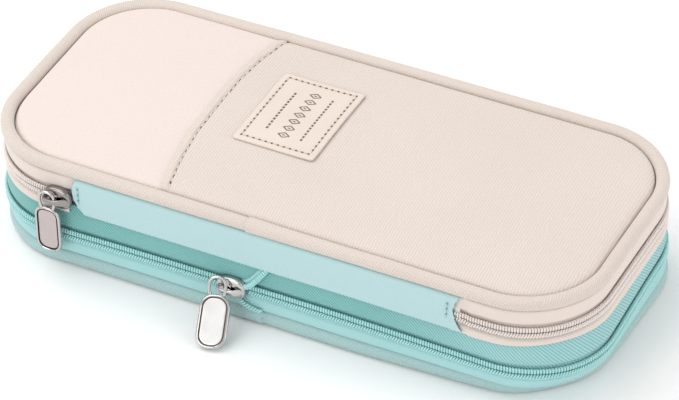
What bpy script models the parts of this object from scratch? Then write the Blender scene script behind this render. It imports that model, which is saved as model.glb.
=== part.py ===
"""Zip-up fabric pencil case: hinged lid, spine band, expansion zipper, sliders and pulls.

Units are metres, +Z is up, +X runs along the case and -Y is its front.
The origin is the centre of the flat underside.
"""
import math

import bmesh
import bpy
from mathutils import Vector

# Driving dimensions of the closed case
HALF_LENGTH = 0.110
HALF_WIDTH = 0.0485
CORNER_RADIUS = 0.0296
GAP = 0.0003                    # clearance between neighbouring solids
PARTING_GAP = 0.0002            # clearance on each side of a zipper's parting plane or a fold
CORNER_STEPS = 9
MIN_STATION_GAP = 0.0004        # stations closer than this to an end are left out

# Heights of the seams and zippers
EXPANDER_Z = 0.0140             # plane where the expansion zipper parts
LID_ZIP_Z = 0.02965             # plane where the lid zipper parts
SPINE_BOTTOM_Z = 0.0252         # sewn fold between case wall and spine band
SPINE_TOP_Z = 0.0385            # sewn fold between spine band and lid
LID_EDGE_Z = 0.0414             # top face of the lid at its piping
LID_RISE = 0.0021               # how far padding lifts the middle of the lid
LID_CROWN_REACH = 0.030
LID_CROWN_POWER = 2.4

# Flat layers: lowest and highest face
BASE_PANEL_Z = (0.0, 0.0012)
BASE_BOARD_Z = (0.0015, 0.0030)
BASE_LINING_Z = (0.0033, 0.0039)
BASE_PANEL_INSET = 0.0058
BASE_BOARD_INSET = 0.0060
LID_LINING_Z = (0.0384, 0.0389)
LID_FOAM_Z = (0.0392, 0.0400)
LID_PANEL_BOTTOM_Z = 0.0403
LID_WALL_TOP_Z = 0.0383
GUSSET_TOP_Z = 0.0166
LID_TAPE_Z = (0.0237, 0.0253)

# Spine band, measured along the front
SPINE_LEFT_X = -0.0710
SPINE_RIGHT_X = 0.0706
SPINE_END_GAP = 0.0006
SPINE_CORE_INSET = 0.0010       # how far the foam and lining stop short of the band's ends
SPINE_BAND_DEPTH = (0.0, 0.0011)
SPINE_FOAM_DEPTH = (0.0014, 0.0027)
SPINE_LINING_DEPTH = (0.0030, 0.0036)

# Where the zipper chains stop beside their sliders
LID_CHAIN_END_X = -0.0822
EXPANDER_CHAIN_LEFT_X = -0.0186
EXPANDER_CHAIN_RIGHT_X = -0.0030

# The chain's two loose ends beside the slider: (x, z) places on the front wall
CHAIN_END_UPPER = (
    (-0.0064, 0.0154), (-0.0053, 0.0172), (-0.0041, 0.0188), (-0.0024, 0.0210), (0.0002, 0.0233),
)
CHAIN_END_LOWER = ((-0.0064, 0.0126), (-0.0059, 0.0108), (-0.0050, 0.0090), (-0.0038, 0.0076))
CHAIN_END_RADIUS = 0.0011
CHAIN_END_DEPTH = 0.0004

# Layers, as distances in from the outer outline
COIL_DEPTH = 0.0016
COIL_ROUND_DEPTH = 0.0006
COIL_HEIGHT = 0.0027            # reach of each half of a chain from its parting plane
LID_TAPE_OUTER = 0.0008
TAPE_OUTER = 0.0019
TAPE_INNER = 0.0027
RIM_OUTER = 0.0030
RIM_INNER = 0.0046
LINING_OUTER = 0.0049
LINING_INNER = 0.0055
PANEL_INSET = 0.0050

# Piping beads
LID_BEAD_RADIUS = 0.0023
LID_BEAD_Z = 0.0409
BASE_BEAD_RADIUS = 0.0027
BASE_BEAD_Z = 0.0032

# Zipper sliders: length along the chain, height across it, distances out from the wall
SLIDER_LENGTH = 0.0104
SLIDER_HALF_HEIGHT = 0.0040
SLIDER_CHAMFER = 0.0016
SLIDER_BACK = 0.0003
SLIDER_FRONT = 0.0016
FLANGE_DEPTH = 0.0012
FLANGE_HALF_GAP = 0.0031
SLIDER_END_SHARE = 0.82         # height of a slider's ends as a share of its middle
SLIDER_EDGE_DROP = 0.0005
SLIDER_EDGE_WIDTH = 0.0008
EXPANDER_SLIDER_X = -0.0123
LID_SLIDER_X = -0.0763

# Bridge over a slider: (along the chain, out from the slider's face)
BRIDGE_OUTER = (
    (-0.0034, 0.0), (-0.0030, 0.0014), (-0.0012, 0.0022), (0.0018, 0.0022), (0.0036, 0.0012), (0.0042, 0.0),
)
BRIDGE_INNER = (
    (0.0030, 0.0), (0.0022, 0.0010), (0.0012, 0.0014), (-0.0010, 0.0014), (-0.0022, 0.0008), (-0.0024, 0.0),
)
BRIDGE_HALF_WIDTH = 0.0008

# Pulls: a wire loop and a plate, in one plane
WIRE_RADIUS = 0.00045
LOOP_HALF_WIDTH = 0.0026
LOOP_LENGTH = 0.0058
LOOP_BEND_RADIUS = 0.0014
LOOP_CHAMFER = 0.0008
LOOP_START = 0.0020
PLATE_TOP = 0.0064
PLATE_LENGTH = 0.0180
PLATE_CORNER_RADIUS = 0.0031
PLATE_THICKNESS = 0.0014
EXPANDER_PLATE_WIDTH = 0.0104
LID_PLATE_WIDTH = 0.0095
EXPANDER_PULL_PIVOT = Vector((-0.0163, -0.0516, 0.0188))
EXPANDER_PULL_YAW = math.radians(14)
EXPANDER_PULL_FLOOR_GAP = 0.0010
LID_PULL_PIVOT = Vector((-0.0789, -0.0514, 0.0326))
LID_PULL_LEAN = math.radians(2)

# Lid trim, seen from above
POCKET_EDGE_X = -0.0390
LABEL_CENTRE = (-0.0145, 0.0057)
LABEL_SIZE = (0.0300, 0.0385)
POCKET_THICKNESS = 0.0009
LABEL_THICKNESS = 0.0008
LID_CROSS_X = (-0.055, -0.025, 0.0, 0.025, 0.055)
LID_CORNER_DEGREES = (20, 40, 55, 70, 82)
LID_ROW_SHARES = (-1, -0.88, -0.66, -0.33, 0, 0.33, 0.66, 0.88, 1)
LABEL_SHARES = (-1, -0.5, 0, 0.5, 1)

# Net pocket inside the lid
NET_LOW = Vector((-0.0945, -0.0330, 0.0334))
NET_HIGH = Vector((0.0945, 0.0350, 0.0381))
NET_WALL = 0.0006
NET_OPENING = 0.010             # how far the hollow runs out past the open sides
BINDING_WIDTH = 0.0012
BINDING_Z = (0.0332, 0.0346)

COLOURS = {
    "cream_canvas": (0.88, 0.78, 0.70),
    "beige_tape": (0.84, 0.74, 0.69),
    "mint_canvas": (0.55, 0.77, 0.78),
    "mint_tape": (0.45, 0.74, 0.73),
    "mint_coil": (0.50, 0.80, 0.79),
    "beige_coil": (0.88, 0.78, 0.74),
    "metal": (0.78, 0.76, 0.74),
    "label": (0.86, 0.72, 0.60),
    "lining": (0.80, 0.78, 0.76),
    "foam": (0.90, 0.90, 0.88),
    "board": (0.62, 0.52, 0.40),
    "mesh": (0.92, 0.90, 0.88),
}


def clear_scene():
    for item in list(bpy.data.objects):
        bpy.data.objects.remove(item, do_unlink=True)


def material(name):
    """The shared Principled material of one finish."""
    found = bpy.data.materials.get(name)
    if found:
        return found
    made = bpy.data.materials.new(name)
    made.use_nodes = True
    shader = made.node_tree.nodes["Principled BSDF"]
    shader.inputs["Base Color"].default_value = (*COLOURS[name], 1.0)
    shader.inputs["Roughness"].default_value = 0.25 if name == "metal" else 0.85
    shader.inputs["Metallic"].default_value = 1.0 if name == "metal" else 0.0
    return made


def empty(name, place, parent=None):
    """A guide on a joint axis, for the pieces that turn or slide there."""
    guide = bpy.data.objects.new(name, None)
    guide.empty_display_size = 0.005
    bpy.context.scene.collection.objects.link(guide)
    if parent:
        guide.parent = parent
        guide.location = Vector(place) - world_place(parent)
    else:
        guide.location = place
    return guide


def world_place(item):
    place = item.location.copy()
    while item.parent:
        item = item.parent
        place = place + item.location
    return place


def add_object(name, shape, finish, parent, smooth_angle=40):
    """Turn a bmesh given in world places into an object under its parent."""
    bmesh.ops.recalc_face_normals(shape, faces=shape.faces)
    origin = world_place(parent)
    bmesh.ops.translate(shape, verts=shape.verts, vec=-origin)
    mesh = bpy.data.meshes.new(name)
    shape.to_mesh(mesh)
    shape.free()
    mesh.materials.append(material(finish))
    mesh.shade_smooth()
    mesh.set_sharp_from_angle(angle=math.radians(smooth_angle))
    item = bpy.data.objects.new(name, mesh)
    item.parent = parent
    bpy.context.scene.collection.objects.link(item)
    return item


# The outline: a rounded rectangle, walked from the front middle towards +X

def outline_lengths():
    front = HALF_LENGTH - CORNER_RADIUS
    side = HALF_WIDTH - CORNER_RADIUS
    quarter = CORNER_RADIUS * math.pi / 2
    return front, side, quarter


def outline_point(walk):
    """Place and outward direction at a distance walked along the outline."""
    front, side, quarter = outline_lengths()
    total = 4 * (front + side + quarter)
    walk = walk % total
    legs = [
        ("line", front, (0.0, -HALF_WIDTH), (1, 0)),
        ("arc", quarter, (front, -side), -90),
        ("line", 2 * side, (HALF_LENGTH, -side), (0, 1)),
        ("arc", quarter, (front, side), 0),
        ("line", 2 * front, (front, HALF_WIDTH), (-1, 0)),
        ("arc", quarter, (-front, side), 90),
        ("line", 2 * side, (-HALF_LENGTH, side), (0, -1)),
        ("arc", quarter, (-front, -side), 180),
        ("line", front, (-front, -HALF_WIDTH), (1, 0)),
    ]
    for kind, length, start, detail in legs:
        if walk <= length + 1e-9:
            if kind == "line":
                place = Vector((start[0] + detail[0] * walk, start[1] + detail[1] * walk))
                return place, Vector((detail[1], -detail[0]))
            angle = math.radians(detail + 90 * walk / length)
            outward = Vector((math.cos(angle), math.sin(angle)))
            return Vector(start) + outward * CORNER_RADIUS, outward
        walk -= length
    return Vector((0.0, -HALF_WIDTH)), Vector((0, -1))


def outline_breaks():
    """Walked distances where the outline needs a station."""
    front, side, quarter = outline_lengths()
    marks = [0.0]
    position = front
    for straight in (2 * side, 2 * front, 2 * side, front):
        marks += [position + quarter * i / CORNER_STEPS for i in range(CORNER_STEPS + 1)]
        position += quarter + straight
    return marks, position


def stations(start=None, end=None):
    """Outline stations for the whole way round, or from start to end."""
    marks, total = outline_breaks()
    if start is None:
        return [outline_point(mark) for mark in marks]
    inside = [mark for mark in marks if start + MIN_STATION_GAP < mark < end - MIN_STATION_GAP]
    return [outline_point(mark) for mark in [start, *inside, end]]


def walk_at_front(x):
    """Walked distance of a place on the front wall."""
    total = outline_breaks()[1]
    return x if x >= 0 else total + x


def sweep(name, profile, finish, parent, start=None, end=None):
    """Run a closed profile of (inset, z) points along the outline."""
    shape = bmesh.new()
    rings = []
    for place, outward in stations(start, end):
        ring = []
        for inset, height in profile:
            spot = place - outward * inset
            ring.append(shape.verts.new((spot.x, spot.y, height)))
        rings.append(ring)
    closed = start is None
    count = len(profile)
    for i in range(len(rings) if closed else len(rings) - 1):
        here = rings[i]
        after = rings[(i + 1) % len(rings)]
        for j in range(count):
            k = (j + 1) % count
            shape.faces.new((here[j], after[j], after[k], here[k]))
    if not closed:
        shape.faces.new(rings[0])
        shape.faces.new(rings[-1])
    return add_object(name, shape, finish, parent)


def band_profile(outer, inner, low, high):
    return [(outer, low), (outer, high), (inner, high), (inner, low)]


def bead_profile(radius, height, sides=10):
    turns = [2 * math.pi * i / sides for i in range(sides)]
    return [(radius - radius * math.cos(t), height + radius * math.sin(t)) for t in turns]


def coil_below(plane):
    """Profile of the chain half under a parting plane."""
    return coil_profile(plane - COIL_HEIGHT, plane - PARTING_GAP)


def coil_above(plane):
    """Profile of the chain half over a parting plane."""
    return coil_profile(plane + PARTING_GAP / 2, plane + COIL_HEIGHT)


def coil_profile(low, high):
    """Rounded outer side of a zipper coil, flat against its tape."""
    middle = (low + high) / 2
    half = (high - low) / 2
    turns = [-math.pi / 2 + math.pi * i / 4 for i in range(5)]
    outer = [(COIL_ROUND_DEPTH * (1 - math.cos(t)), middle + half * math.sin(t)) for t in turns]
    return outer + [(COIL_DEPTH, high), (COIL_DEPTH, low)]


def slab(name, inset, levels, finish, parent):
    """A flat sheet with the case's rounded outline, between its two levels."""
    low, high = levels
    shape = bmesh.new()
    top = []
    bottom = []
    for place, outward in stations():
        spot = place - outward * inset
        bottom.append(shape.verts.new((spot.x, spot.y, low)))
        top.append(shape.verts.new((spot.x, spot.y, high)))
    shape.faces.new(top)
    shape.faces.new(bottom)
    for i in range(len(top)):
        k = (i + 1) % len(top)
        shape.faces.new((bottom[i], bottom[k], top[k], top[i]))
    return add_object(name, shape, finish, parent)


def box(name, low, high, finish, parent):
    shape = bmesh.new()
    size = Vector(high) - Vector(low)
    middle = (Vector(high) + Vector(low)) / 2
    bmesh.ops.create_cube(shape, size=1.0)
    bmesh.ops.scale(shape, verts=shape.verts, vec=size)
    bmesh.ops.translate(shape, verts=shape.verts, vec=middle)
    return add_object(name, shape, finish, parent)


# The padded lid: one height rule shared by the panel, its pocket and its label

def lid_height(x, y):
    """Top of the lid panel: low at the piping, lifted by padding inside it."""
    radius = CORNER_RADIUS - PANEL_INSET
    across = abs(x) - (HALF_LENGTH - PANEL_INSET - radius)
    along = abs(y) - (HALF_WIDTH - PANEL_INSET - radius)
    corner = math.hypot(max(across, 0), max(along, 0))
    inside = radius - corner - min(max(across, along), 0)
    reach = min(max(inside, 0) / LID_CROWN_REACH, 1)
    return LID_EDGE_Z + LID_RISE * (1 - (1 - reach) ** LID_CROWN_POWER)


def half_width_at(x):
    """Half width of the lid panel's outline at x."""
    radius = CORNER_RADIUS - PANEL_INSET
    side = HALF_WIDTH - PANEL_INSET - radius
    past = max(abs(x) - (HALF_LENGTH - PANEL_INSET - radius), 0)
    return side + math.sqrt(max(radius ** 2 - past ** 2, 0))


def quilted(name, columns, rows, lift, thickness, finish, parent, floor=None):
    """A solid whose top follows the padded lid; rows(x) gives the y places."""
    shape = bmesh.new()
    upper = []
    lower = []
    for x in columns:
        tops = [(x, y, lid_height(x, y) + lift + thickness) for y in rows(x)]
        upper.append([shape.verts.new(spot) for spot in tops])
        if floor is None:
            bottoms = [(x, y, lid_height(x, y) + lift) for y in rows(x)]
        else:
            bottoms = [(x, y, floor) for y in rows(x)]
        lower.append([shape.verts.new(spot) for spot in bottoms])
    last_column = len(upper) - 1
    last_row = len(upper[0]) - 1
    for i in range(last_column):
        for j in range(last_row):
            shape.faces.new((upper[i][j], upper[i + 1][j], upper[i + 1][j + 1], upper[i][j + 1]))
            shape.faces.new((lower[i][j], lower[i][j + 1], lower[i + 1][j + 1], lower[i + 1][j]))
    for i in range(last_column):
        for j in (0, last_row):
            shape.faces.new((lower[i][j], lower[i + 1][j], upper[i + 1][j], upper[i][j]))
    for j in range(last_row):
        for i in (0, last_column):
            shape.faces.new((lower[i][j], lower[i][j + 1], upper[i][j + 1], upper[i][j]))
    return add_object(name, shape, finish, parent)


def lid_columns(left, right):
    """X places across the lid, closer together in the rounded ends."""
    radius = CORNER_RADIUS - PANEL_INSET
    straight = HALF_LENGTH - PANEL_INSET - radius
    rounded = [straight + radius * math.sin(math.radians(a)) for a in LID_CORNER_DEGREES]
    end = HALF_LENGTH - PANEL_INSET
    marks = [-end, *[-x for x in reversed(rounded)], -straight, *LID_CROSS_X, straight, *rounded, end]
    inside = [x for x in marks if left + POCKET_THICKNESS * 2 < x < right - PARTING_GAP]
    return [left, *inside, right]


def panel_rows(x):
    half = half_width_at(x)
    return [half * share for share in LID_ROW_SHARES]


def label_rows(_x):
    half = LABEL_SIZE[1] / 2
    return [LABEL_CENTRE[1] + half * share for share in LABEL_SHARES]


# Tubes for the pull loops and for the chain ends

def tube(name, points, radius, finish, parent, sides=8):
    """A round tube through the points, closed at both ends."""
    spots = [Vector(p) for p in points]
    shape = bmesh.new()
    rings = []
    side = None
    for i, spot in enumerate(spots):
        before = spots[max(i - 1, 0)]
        after = spots[min(i + 1, len(spots) - 1)]
        along = (after - before).normalized()
        if side is None:
            side = along.orthogonal().normalized()
        side = (side - along * side.dot(along)).normalized()
        up = along.cross(side)
        ring = []
        for k in range(sides):
            turn = 2 * math.pi * k / sides
            ring.append(shape.verts.new(spot + (side * math.cos(turn) + up * math.sin(turn)) * radius))
        rings.append(ring)
    for i in range(len(rings) - 1):
        for k in range(sides):
            n = (k + 1) % sides
            shape.faces.new((rings[i][k], rings[i][n], rings[i + 1][n], rings[i + 1][k]))
    shape.faces.new(rings[0])
    shape.faces.new(rings[-1])
    return add_object(name, shape, finish, parent)


def plate_from_outline(outline, back, front, place):
    """Extrude an outline of (along, up) between two depths; place maps to the world."""
    shape = bmesh.new()
    near = [shape.verts.new(place(u, front, w)) for u, w in outline]
    far = [shape.verts.new(place(u, back, w)) for u, w in outline]
    shape.faces.new(near)
    shape.faces.new(far)
    for i in range(len(outline)):
        k = (i + 1) % len(outline)
        shape.faces.new((near[i], near[k], far[k], far[i]))
    return shape


def slider(prefix, centre_x, centre_z, parent):
    """A slider's channel plate with its two side flanges, and the bridge over it."""

    def place(along, out, up):
        return (centre_x + along, -HALF_WIDTH - out, centre_z + up)

    half = SLIDER_LENGTH / 2
    tall = SLIDER_HALF_HEIGHT
    cut = SLIDER_CHAMFER
    gap = FLANGE_HALF_GAP
    shape = bmesh.new()
    edge = SLIDER_FRONT - SLIDER_EDGE_DROP
    face = tall - SLIDER_EDGE_WIDTH
    profile = [
        (edge, -tall), (SLIDER_FRONT, -face), (SLIDER_FRONT, face), (edge, tall),
        (-FLANGE_DEPTH, tall), (-FLANGE_DEPTH, gap), (SLIDER_BACK, gap),
        (SLIDER_BACK, -gap), (-FLANGE_DEPTH, -gap), (-FLANGE_DEPTH, -tall),
    ]
    ends = [(-half, SLIDER_END_SHARE), (-half + cut, 1.0), (half - cut, 1.0), (half, SLIDER_END_SHARE)]
    rings = []
    for along, squeeze in ends:
        ring = []
        for out, up in profile:
            height = max(abs(up) * squeeze, gap) if abs(up) > gap else abs(up)
            ring.append(shape.verts.new(place(along, out, math.copysign(height, up))))
        rings.append(ring)
    for i in range(len(rings) - 1):
        for j in range(len(profile)):
            k = (j + 1) % len(profile)
            shape.faces.new((rings[i][j], rings[i + 1][j], rings[i + 1][k], rings[i][k]))
    shape.faces.new(rings[0])
    shape.faces.new(rings[-1])
    add_object(prefix + "_body", shape, "metal", parent, smooth_angle=30)

    base = SLIDER_FRONT + GAP
    arch = [(along, base + out) for along, out in BRIDGE_OUTER + BRIDGE_INNER]
    bridge = bmesh.new()
    low = [bridge.verts.new(place(u, v, -BRIDGE_HALF_WIDTH)) for u, v in arch]
    high = [bridge.verts.new(place(u, v, BRIDGE_HALF_WIDTH)) for u, v in arch]
    bridge.faces.new(low)
    bridge.faces.new(high)
    for i in range(len(arch)):
        k = (i + 1) % len(arch)
        bridge.faces.new((low[i], low[k], high[k], high[i]))
    add_object(prefix + "_bridge", bridge, "metal", parent, smooth_angle=30)


def pull(prefix, pivot, yaw, lean, width, parent):
    """A pull hung from its pivot: across is level, down runs along the plate."""
    across = Vector((math.cos(yaw), math.sin(yaw), 0))
    down = Vector((math.sin(yaw) * math.sin(lean), -math.cos(yaw) * math.sin(lean), -math.cos(lean)))
    out = across.cross(down)

    def place(side, forward, below):
        return pivot + across * side + out * forward + down * below

    wide = LOOP_HALF_WIDTH
    bend = LOOP_BEND_RADIUS
    low = LOOP_LENGTH - WIRE_RADIUS
    loop = [(wide, LOOP_START)]
    loop += [(wide - bend + bend * math.cos(t), bend - bend * math.sin(t)) for t in quarter_turn(0)]
    loop += [(bend - wide + bend * math.cos(t), bend - bend * math.sin(t)) for t in quarter_turn(90)]
    foot = wide - LOOP_CHAMFER
    loop += [(-wide, low - LOOP_CHAMFER), (-foot, low), (foot, low), (wide, low - LOOP_CHAMFER)]
    points = [place(side, 0, below) for side, below in loop]
    tube(prefix + "_loop", points, WIRE_RADIUS, "metal", parent)

    radius = PLATE_CORNER_RADIUS
    flank = width / 2 - radius
    top = PLATE_TOP + radius
    bottom = PLATE_TOP + PLATE_LENGTH - radius
    corners = ((flank, top, 0), (-flank, top, 90), (-flank, bottom, 180), (flank, bottom, 270))
    outline = []
    for side, below, start in corners:
        outline += [(side + radius * math.cos(t), below - radius * math.sin(t)) for t in quarter_turn(start)]
    thick = PLATE_THICKNESS / 2
    shape = plate_from_outline(outline, -thick, thick, place)
    add_object(prefix + "_plate", shape, "metal", parent, smooth_angle=30)


def quarter_turn(start):
    """Four angles over a quarter turn, from start in degrees."""
    return [math.radians(start + 30 * step) for step in range(4)]


def floor_lean(pivot):
    """How far the pull leans out for its lower end to stay clear of the table."""
    reach = PLATE_TOP + PLATE_LENGTH
    return math.acos((pivot.z - EXPANDER_PULL_FLOOR_GAP) / reach)


def build_base(root):
    slab("base_panel", BASE_PANEL_INSET, BASE_PANEL_Z, "mint_canvas", root)
    slab("base_board", BASE_BOARD_INSET, BASE_BOARD_Z, "board", root)
    slab("base_lining", BASE_BOARD_INSET, BASE_LINING_Z, "lining", root)
    sweep("base_piping", bead_profile(BASE_BEAD_RADIUS, BASE_BEAD_Z), "mint_canvas", root)
    low = BASE_BEAD_Z + BASE_BEAD_RADIUS + GAP
    high = EXPANDER_Z - 2 * PARTING_GAP
    sweep("base_zipper_tape", band_profile(TAPE_OUTER, TAPE_INNER, low, high), "mint_tape", root)
    sweep("base_rim", band_profile(RIM_OUTER, RIM_INNER, low, high), "foam", root)
    sweep("expansion_gusset", band_profile(LINING_OUTER, LINING_INNER, low, GUSSET_TOP_Z), "lining", root)


def expander_chain(base, case):
    """Both halves of the expansion zipper, open at the slider, and their loose ends."""
    first = walk_at_front(EXPANDER_CHAIN_RIGHT_X) - outline_breaks()[1]
    last = walk_at_front(EXPANDER_CHAIN_LEFT_X)
    sweep("expander_coil_lower", coil_below(EXPANDER_Z), "mint_coil", base, first, last)
    sweep("expander_coil_upper", coil_above(EXPANDER_Z), "mint_coil", case, first, last)
    wall = CHAIN_END_DEPTH - HALF_WIDTH
    for name, places, parent in (("upper", CHAIN_END_UPPER, case), ("lower", CHAIN_END_LOWER, base)):
        points = [(x, wall, z) for x, z in places]
        tube("chain_end_" + name, points, CHAIN_END_RADIUS, "mint_coil", parent)


def lid_zip_ends():
    """Walked distances where the lid's zipper leaves the spine band and comes back to it."""
    start = walk_at_front(SPINE_RIGHT_X + SPINE_END_GAP)
    end = walk_at_front(SPINE_LEFT_X - SPINE_END_GAP)
    return start, end


def build_case(case):
    """The middle ring between the two zippers."""
    top = SPINE_BOTTOM_Z - GAP
    low = EXPANDER_Z + PARTING_GAP
    sweep("case_zipper_tape", band_profile(TAPE_OUTER, TAPE_INNER, low, top), "mint_tape", case)
    sweep("case_rim", band_profile(RIM_OUTER, RIM_INNER, low, top), "foam", case)
    lining = band_profile(LINING_OUTER, LINING_INNER, GUSSET_TOP_Z + GAP, top)
    sweep("case_lining", lining, "lining", case)
    start, end = lid_zip_ends()
    tape = band_profile(LID_TAPE_OUTER, COIL_DEPTH, *LID_TAPE_Z)
    sweep("lid_tape_lower", tape, "beige_tape", case, start, end)
    upper_rim = band_profile(RIM_OUTER, RIM_INNER, SPINE_BOTTOM_Z, LID_ZIP_Z - PARTING_GAP)
    sweep("case_rim_top", upper_rim, "foam", case, start, end)
    chain_end = walk_at_front(LID_CHAIN_END_X)
    sweep("lid_coil_lower", coil_below(LID_ZIP_Z), "beige_coil", case, start, chain_end)


def spine_layer(name, depths, inset, margin, finish, spine):
    """One upright layer of the spine, between two depths behind the front face."""
    near, far = depths
    low = (SPINE_LEFT_X + inset, near - HALF_WIDTH, SPINE_BOTTOM_Z + margin)
    high = (SPINE_RIGHT_X - inset, far - HALF_WIDTH, SPINE_TOP_Z - margin)
    box(name, low, high, finish, spine)


def build_spine(spine):
    """The band that joins the lid to the case along the front."""
    inset = SPINE_CORE_INSET
    spine_layer("spine_band", SPINE_BAND_DEPTH, 0.0, PARTING_GAP, "mint_canvas", spine)
    spine_layer("spine_foam", SPINE_FOAM_DEPTH, inset, PARTING_GAP + GAP, "foam", spine)
    spine_layer("spine_lining", SPINE_LINING_DEPTH, inset, 2 * PARTING_GAP, "lining", spine)


def build_lid(lid):
    end = HALF_LENGTH - PANEL_INSET
    sweep("lid_piping", bead_profile(LID_BEAD_RADIUS, LID_BEAD_Z), "cream_canvas", lid)
    columns = lid_columns(-end, end)
    quilted("lid_panel", columns, panel_rows, 0.0, 0.0, "cream_canvas", lid, LID_PANEL_BOTTOM_Z)
    slab("lid_foam", LINING_OUTER, LID_FOAM_Z, "foam", lid)
    slab("lid_lining", LINING_OUTER, LID_LINING_Z, "lining", lid)
    start, finish = lid_zip_ends()
    low = LID_ZIP_Z + GAP
    wall = band_profile(TAPE_OUTER, TAPE_INNER, low, LID_WALL_TOP_Z)
    sweep("lid_wall", wall, "beige_tape", lid, start, finish)
    sweep("lid_rim", band_profile(RIM_OUTER, RIM_INNER, low, LID_WALL_TOP_Z), "foam", lid, start, finish)
    chain_end = walk_at_front(LID_CHAIN_END_X)
    sweep("lid_coil_upper", coil_above(LID_ZIP_Z), "beige_coil", lid, start, chain_end)

    columns = lid_columns(POCKET_EDGE_X, end)
    quilted("pocket_panel", columns, panel_rows, GAP, POCKET_THICKNESS, "cream_canvas", lid)
    half = LABEL_SIZE[0] / 2
    columns = [LABEL_CENTRE[0] + half * share for share in LABEL_SHARES]
    lift = GAP + POCKET_THICKNESS + GAP
    quilted("label_patch", columns, label_rows, lift, LABEL_THICKNESS, "label", lid)


def build_mesh_pocket(lid):
    """Pocket inside the lid: a net floor with three low walls, open to the front."""
    pocket = box("mesh_pocket", NET_LOW, NET_HIGH, "mesh", lid)
    hollow_low = NET_LOW + Vector((NET_WALL, -NET_OPENING, NET_WALL))
    hollow_high = NET_HIGH + Vector((-NET_WALL, -NET_WALL, NET_OPENING))
    cutter = box("mesh_pocket_space", hollow_low, hollow_high, "mesh", lid)
    cutter.hide_render = True
    cutter.display_type = "WIRE"
    cut = pocket.modifiers.new("space", "BOOLEAN")
    cut.operation = "DIFFERENCE"
    cut.solver = "EXACT"
    cut.object = cutter
    edge = NET_LOW.y - GAP
    low = (NET_LOW.x, edge - BINDING_WIDTH, BINDING_Z[0])
    high = (NET_HIGH.x, edge, BINDING_Z[1])
    box("mesh_pocket_binding", low, high, "beige_tape", lid)


def main():
    clear_scene()
    base = empty("base_frame", (0, 0, 0))
    case = empty("case_slide", (0, 0, EXPANDER_Z), base)
    spine = empty("spine_fold", (0, -HALF_WIDTH, SPINE_BOTTOM_Z), case)
    lid = empty("lid_fold", (0, -HALF_WIDTH, SPINE_TOP_Z), spine)
    build_base(base)
    expander_chain(base, case)
    build_case(case)
    build_spine(spine)
    build_lid(lid)
    build_mesh_pocket(lid)

    expander = empty("expander_slider_guide", (EXPANDER_SLIDER_X, -HALF_WIDTH, EXPANDER_Z), base)
    slider("expander_slider", EXPANDER_SLIDER_X, EXPANDER_Z, expander)
    expander_pivot = empty("expander_pull_pivot", EXPANDER_PULL_PIVOT, expander)
    lean = floor_lean(EXPANDER_PULL_PIVOT)
    pull("expander_pull", EXPANDER_PULL_PIVOT, EXPANDER_PULL_YAW, lean, EXPANDER_PLATE_WIDTH, expander_pivot)

    front, side, _quarter = outline_lengths()
    corner = empty("lid_slider_corner", (-front, -side, LID_ZIP_Z), case)
    slider("lid_slider", LID_SLIDER_X, LID_ZIP_Z, corner)
    lid_pivot = empty("lid_pull_pivot", LID_PULL_PIVOT, corner)
    pull("lid_pull", LID_PULL_PIVOT, 0.0, LID_PULL_LEAN, LID_PLATE_WIDTH, lid_pivot)


main()
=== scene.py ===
"""Looks for the zip-up pencil case: canvas, tapes, coils, piping, sliders and pulls around the CAD frame."""
import math

import bmesh
import bpy
import numpy as np
from mathutils import Matrix, Vector, noise


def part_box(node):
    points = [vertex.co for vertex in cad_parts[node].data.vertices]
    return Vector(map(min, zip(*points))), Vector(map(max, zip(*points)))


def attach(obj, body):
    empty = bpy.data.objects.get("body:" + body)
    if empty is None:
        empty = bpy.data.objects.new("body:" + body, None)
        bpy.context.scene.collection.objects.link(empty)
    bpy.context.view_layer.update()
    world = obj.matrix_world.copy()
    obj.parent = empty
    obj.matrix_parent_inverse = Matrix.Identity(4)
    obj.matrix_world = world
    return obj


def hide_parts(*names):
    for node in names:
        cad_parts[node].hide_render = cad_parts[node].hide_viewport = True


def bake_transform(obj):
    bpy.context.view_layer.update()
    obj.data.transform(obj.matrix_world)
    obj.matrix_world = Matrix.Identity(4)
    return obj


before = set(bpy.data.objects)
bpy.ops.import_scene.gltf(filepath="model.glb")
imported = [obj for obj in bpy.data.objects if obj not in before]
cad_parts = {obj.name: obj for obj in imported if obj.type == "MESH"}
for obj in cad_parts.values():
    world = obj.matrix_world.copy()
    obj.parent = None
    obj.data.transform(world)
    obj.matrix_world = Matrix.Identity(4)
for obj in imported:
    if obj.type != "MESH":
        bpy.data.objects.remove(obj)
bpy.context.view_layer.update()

MM = 0.001

# ---------------------------------------------------------- sizes, read from the frame where it has them
HALF_LENGTH, HALF_WIDTH, _bead_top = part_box("base_piping")[1]
CORNER_RADIUS = 29.6 * MM
BAND_LOW, BAND_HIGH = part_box("spine_band")
EXPANDER_Z = 14.0 * MM
LID_ZIP_Z = 29.65 * MM
SPINE_BOTTOM_Z = 25.2 * MM
SPINE_TOP_Z = 38.5 * MM
LID_BEAD_Z = (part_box("lid_piping")[0].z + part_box("lid_piping")[1].z) / 2
POCKET_EDGE_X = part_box("pocket_panel")[0].x
LABEL_LOW, LABEL_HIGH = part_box("label_patch")

# ---------------------------------------------------------------- colours, linear
CREAM = (0.770, 0.695, 0.635)
BLUSH = (0.800, 0.705, 0.665)
BEIGE = (0.760, 0.655, 0.600)
BAND_MINT = (0.455, 0.655, 0.670)
# painted shade: the tape under the band, darker than the same tape below the zipper
SHADED_TAPE_MINT = (0.250, 0.540, 0.525)
PALE_TAPE_MINT = (0.410, 0.680, 0.690)
PIPING_MINT = (0.430, 0.655, 0.660)
COIL_MINT = (0.400, 0.730, 0.720)
COIL_BEIGE = (0.840, 0.740, 0.700)
LABEL = (0.735, 0.650, 0.585)
LINING = (0.620, 0.620, 0.600)
THREAD = (0.780, 0.690, 0.610)
INK = (0.200, 0.150, 0.105)
# painted shade: the dark colour of the needle holes, where shade falls into them
HOLE_SHADE = (0.170, 0.125, 0.095)


# ================================================================ materials

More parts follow.
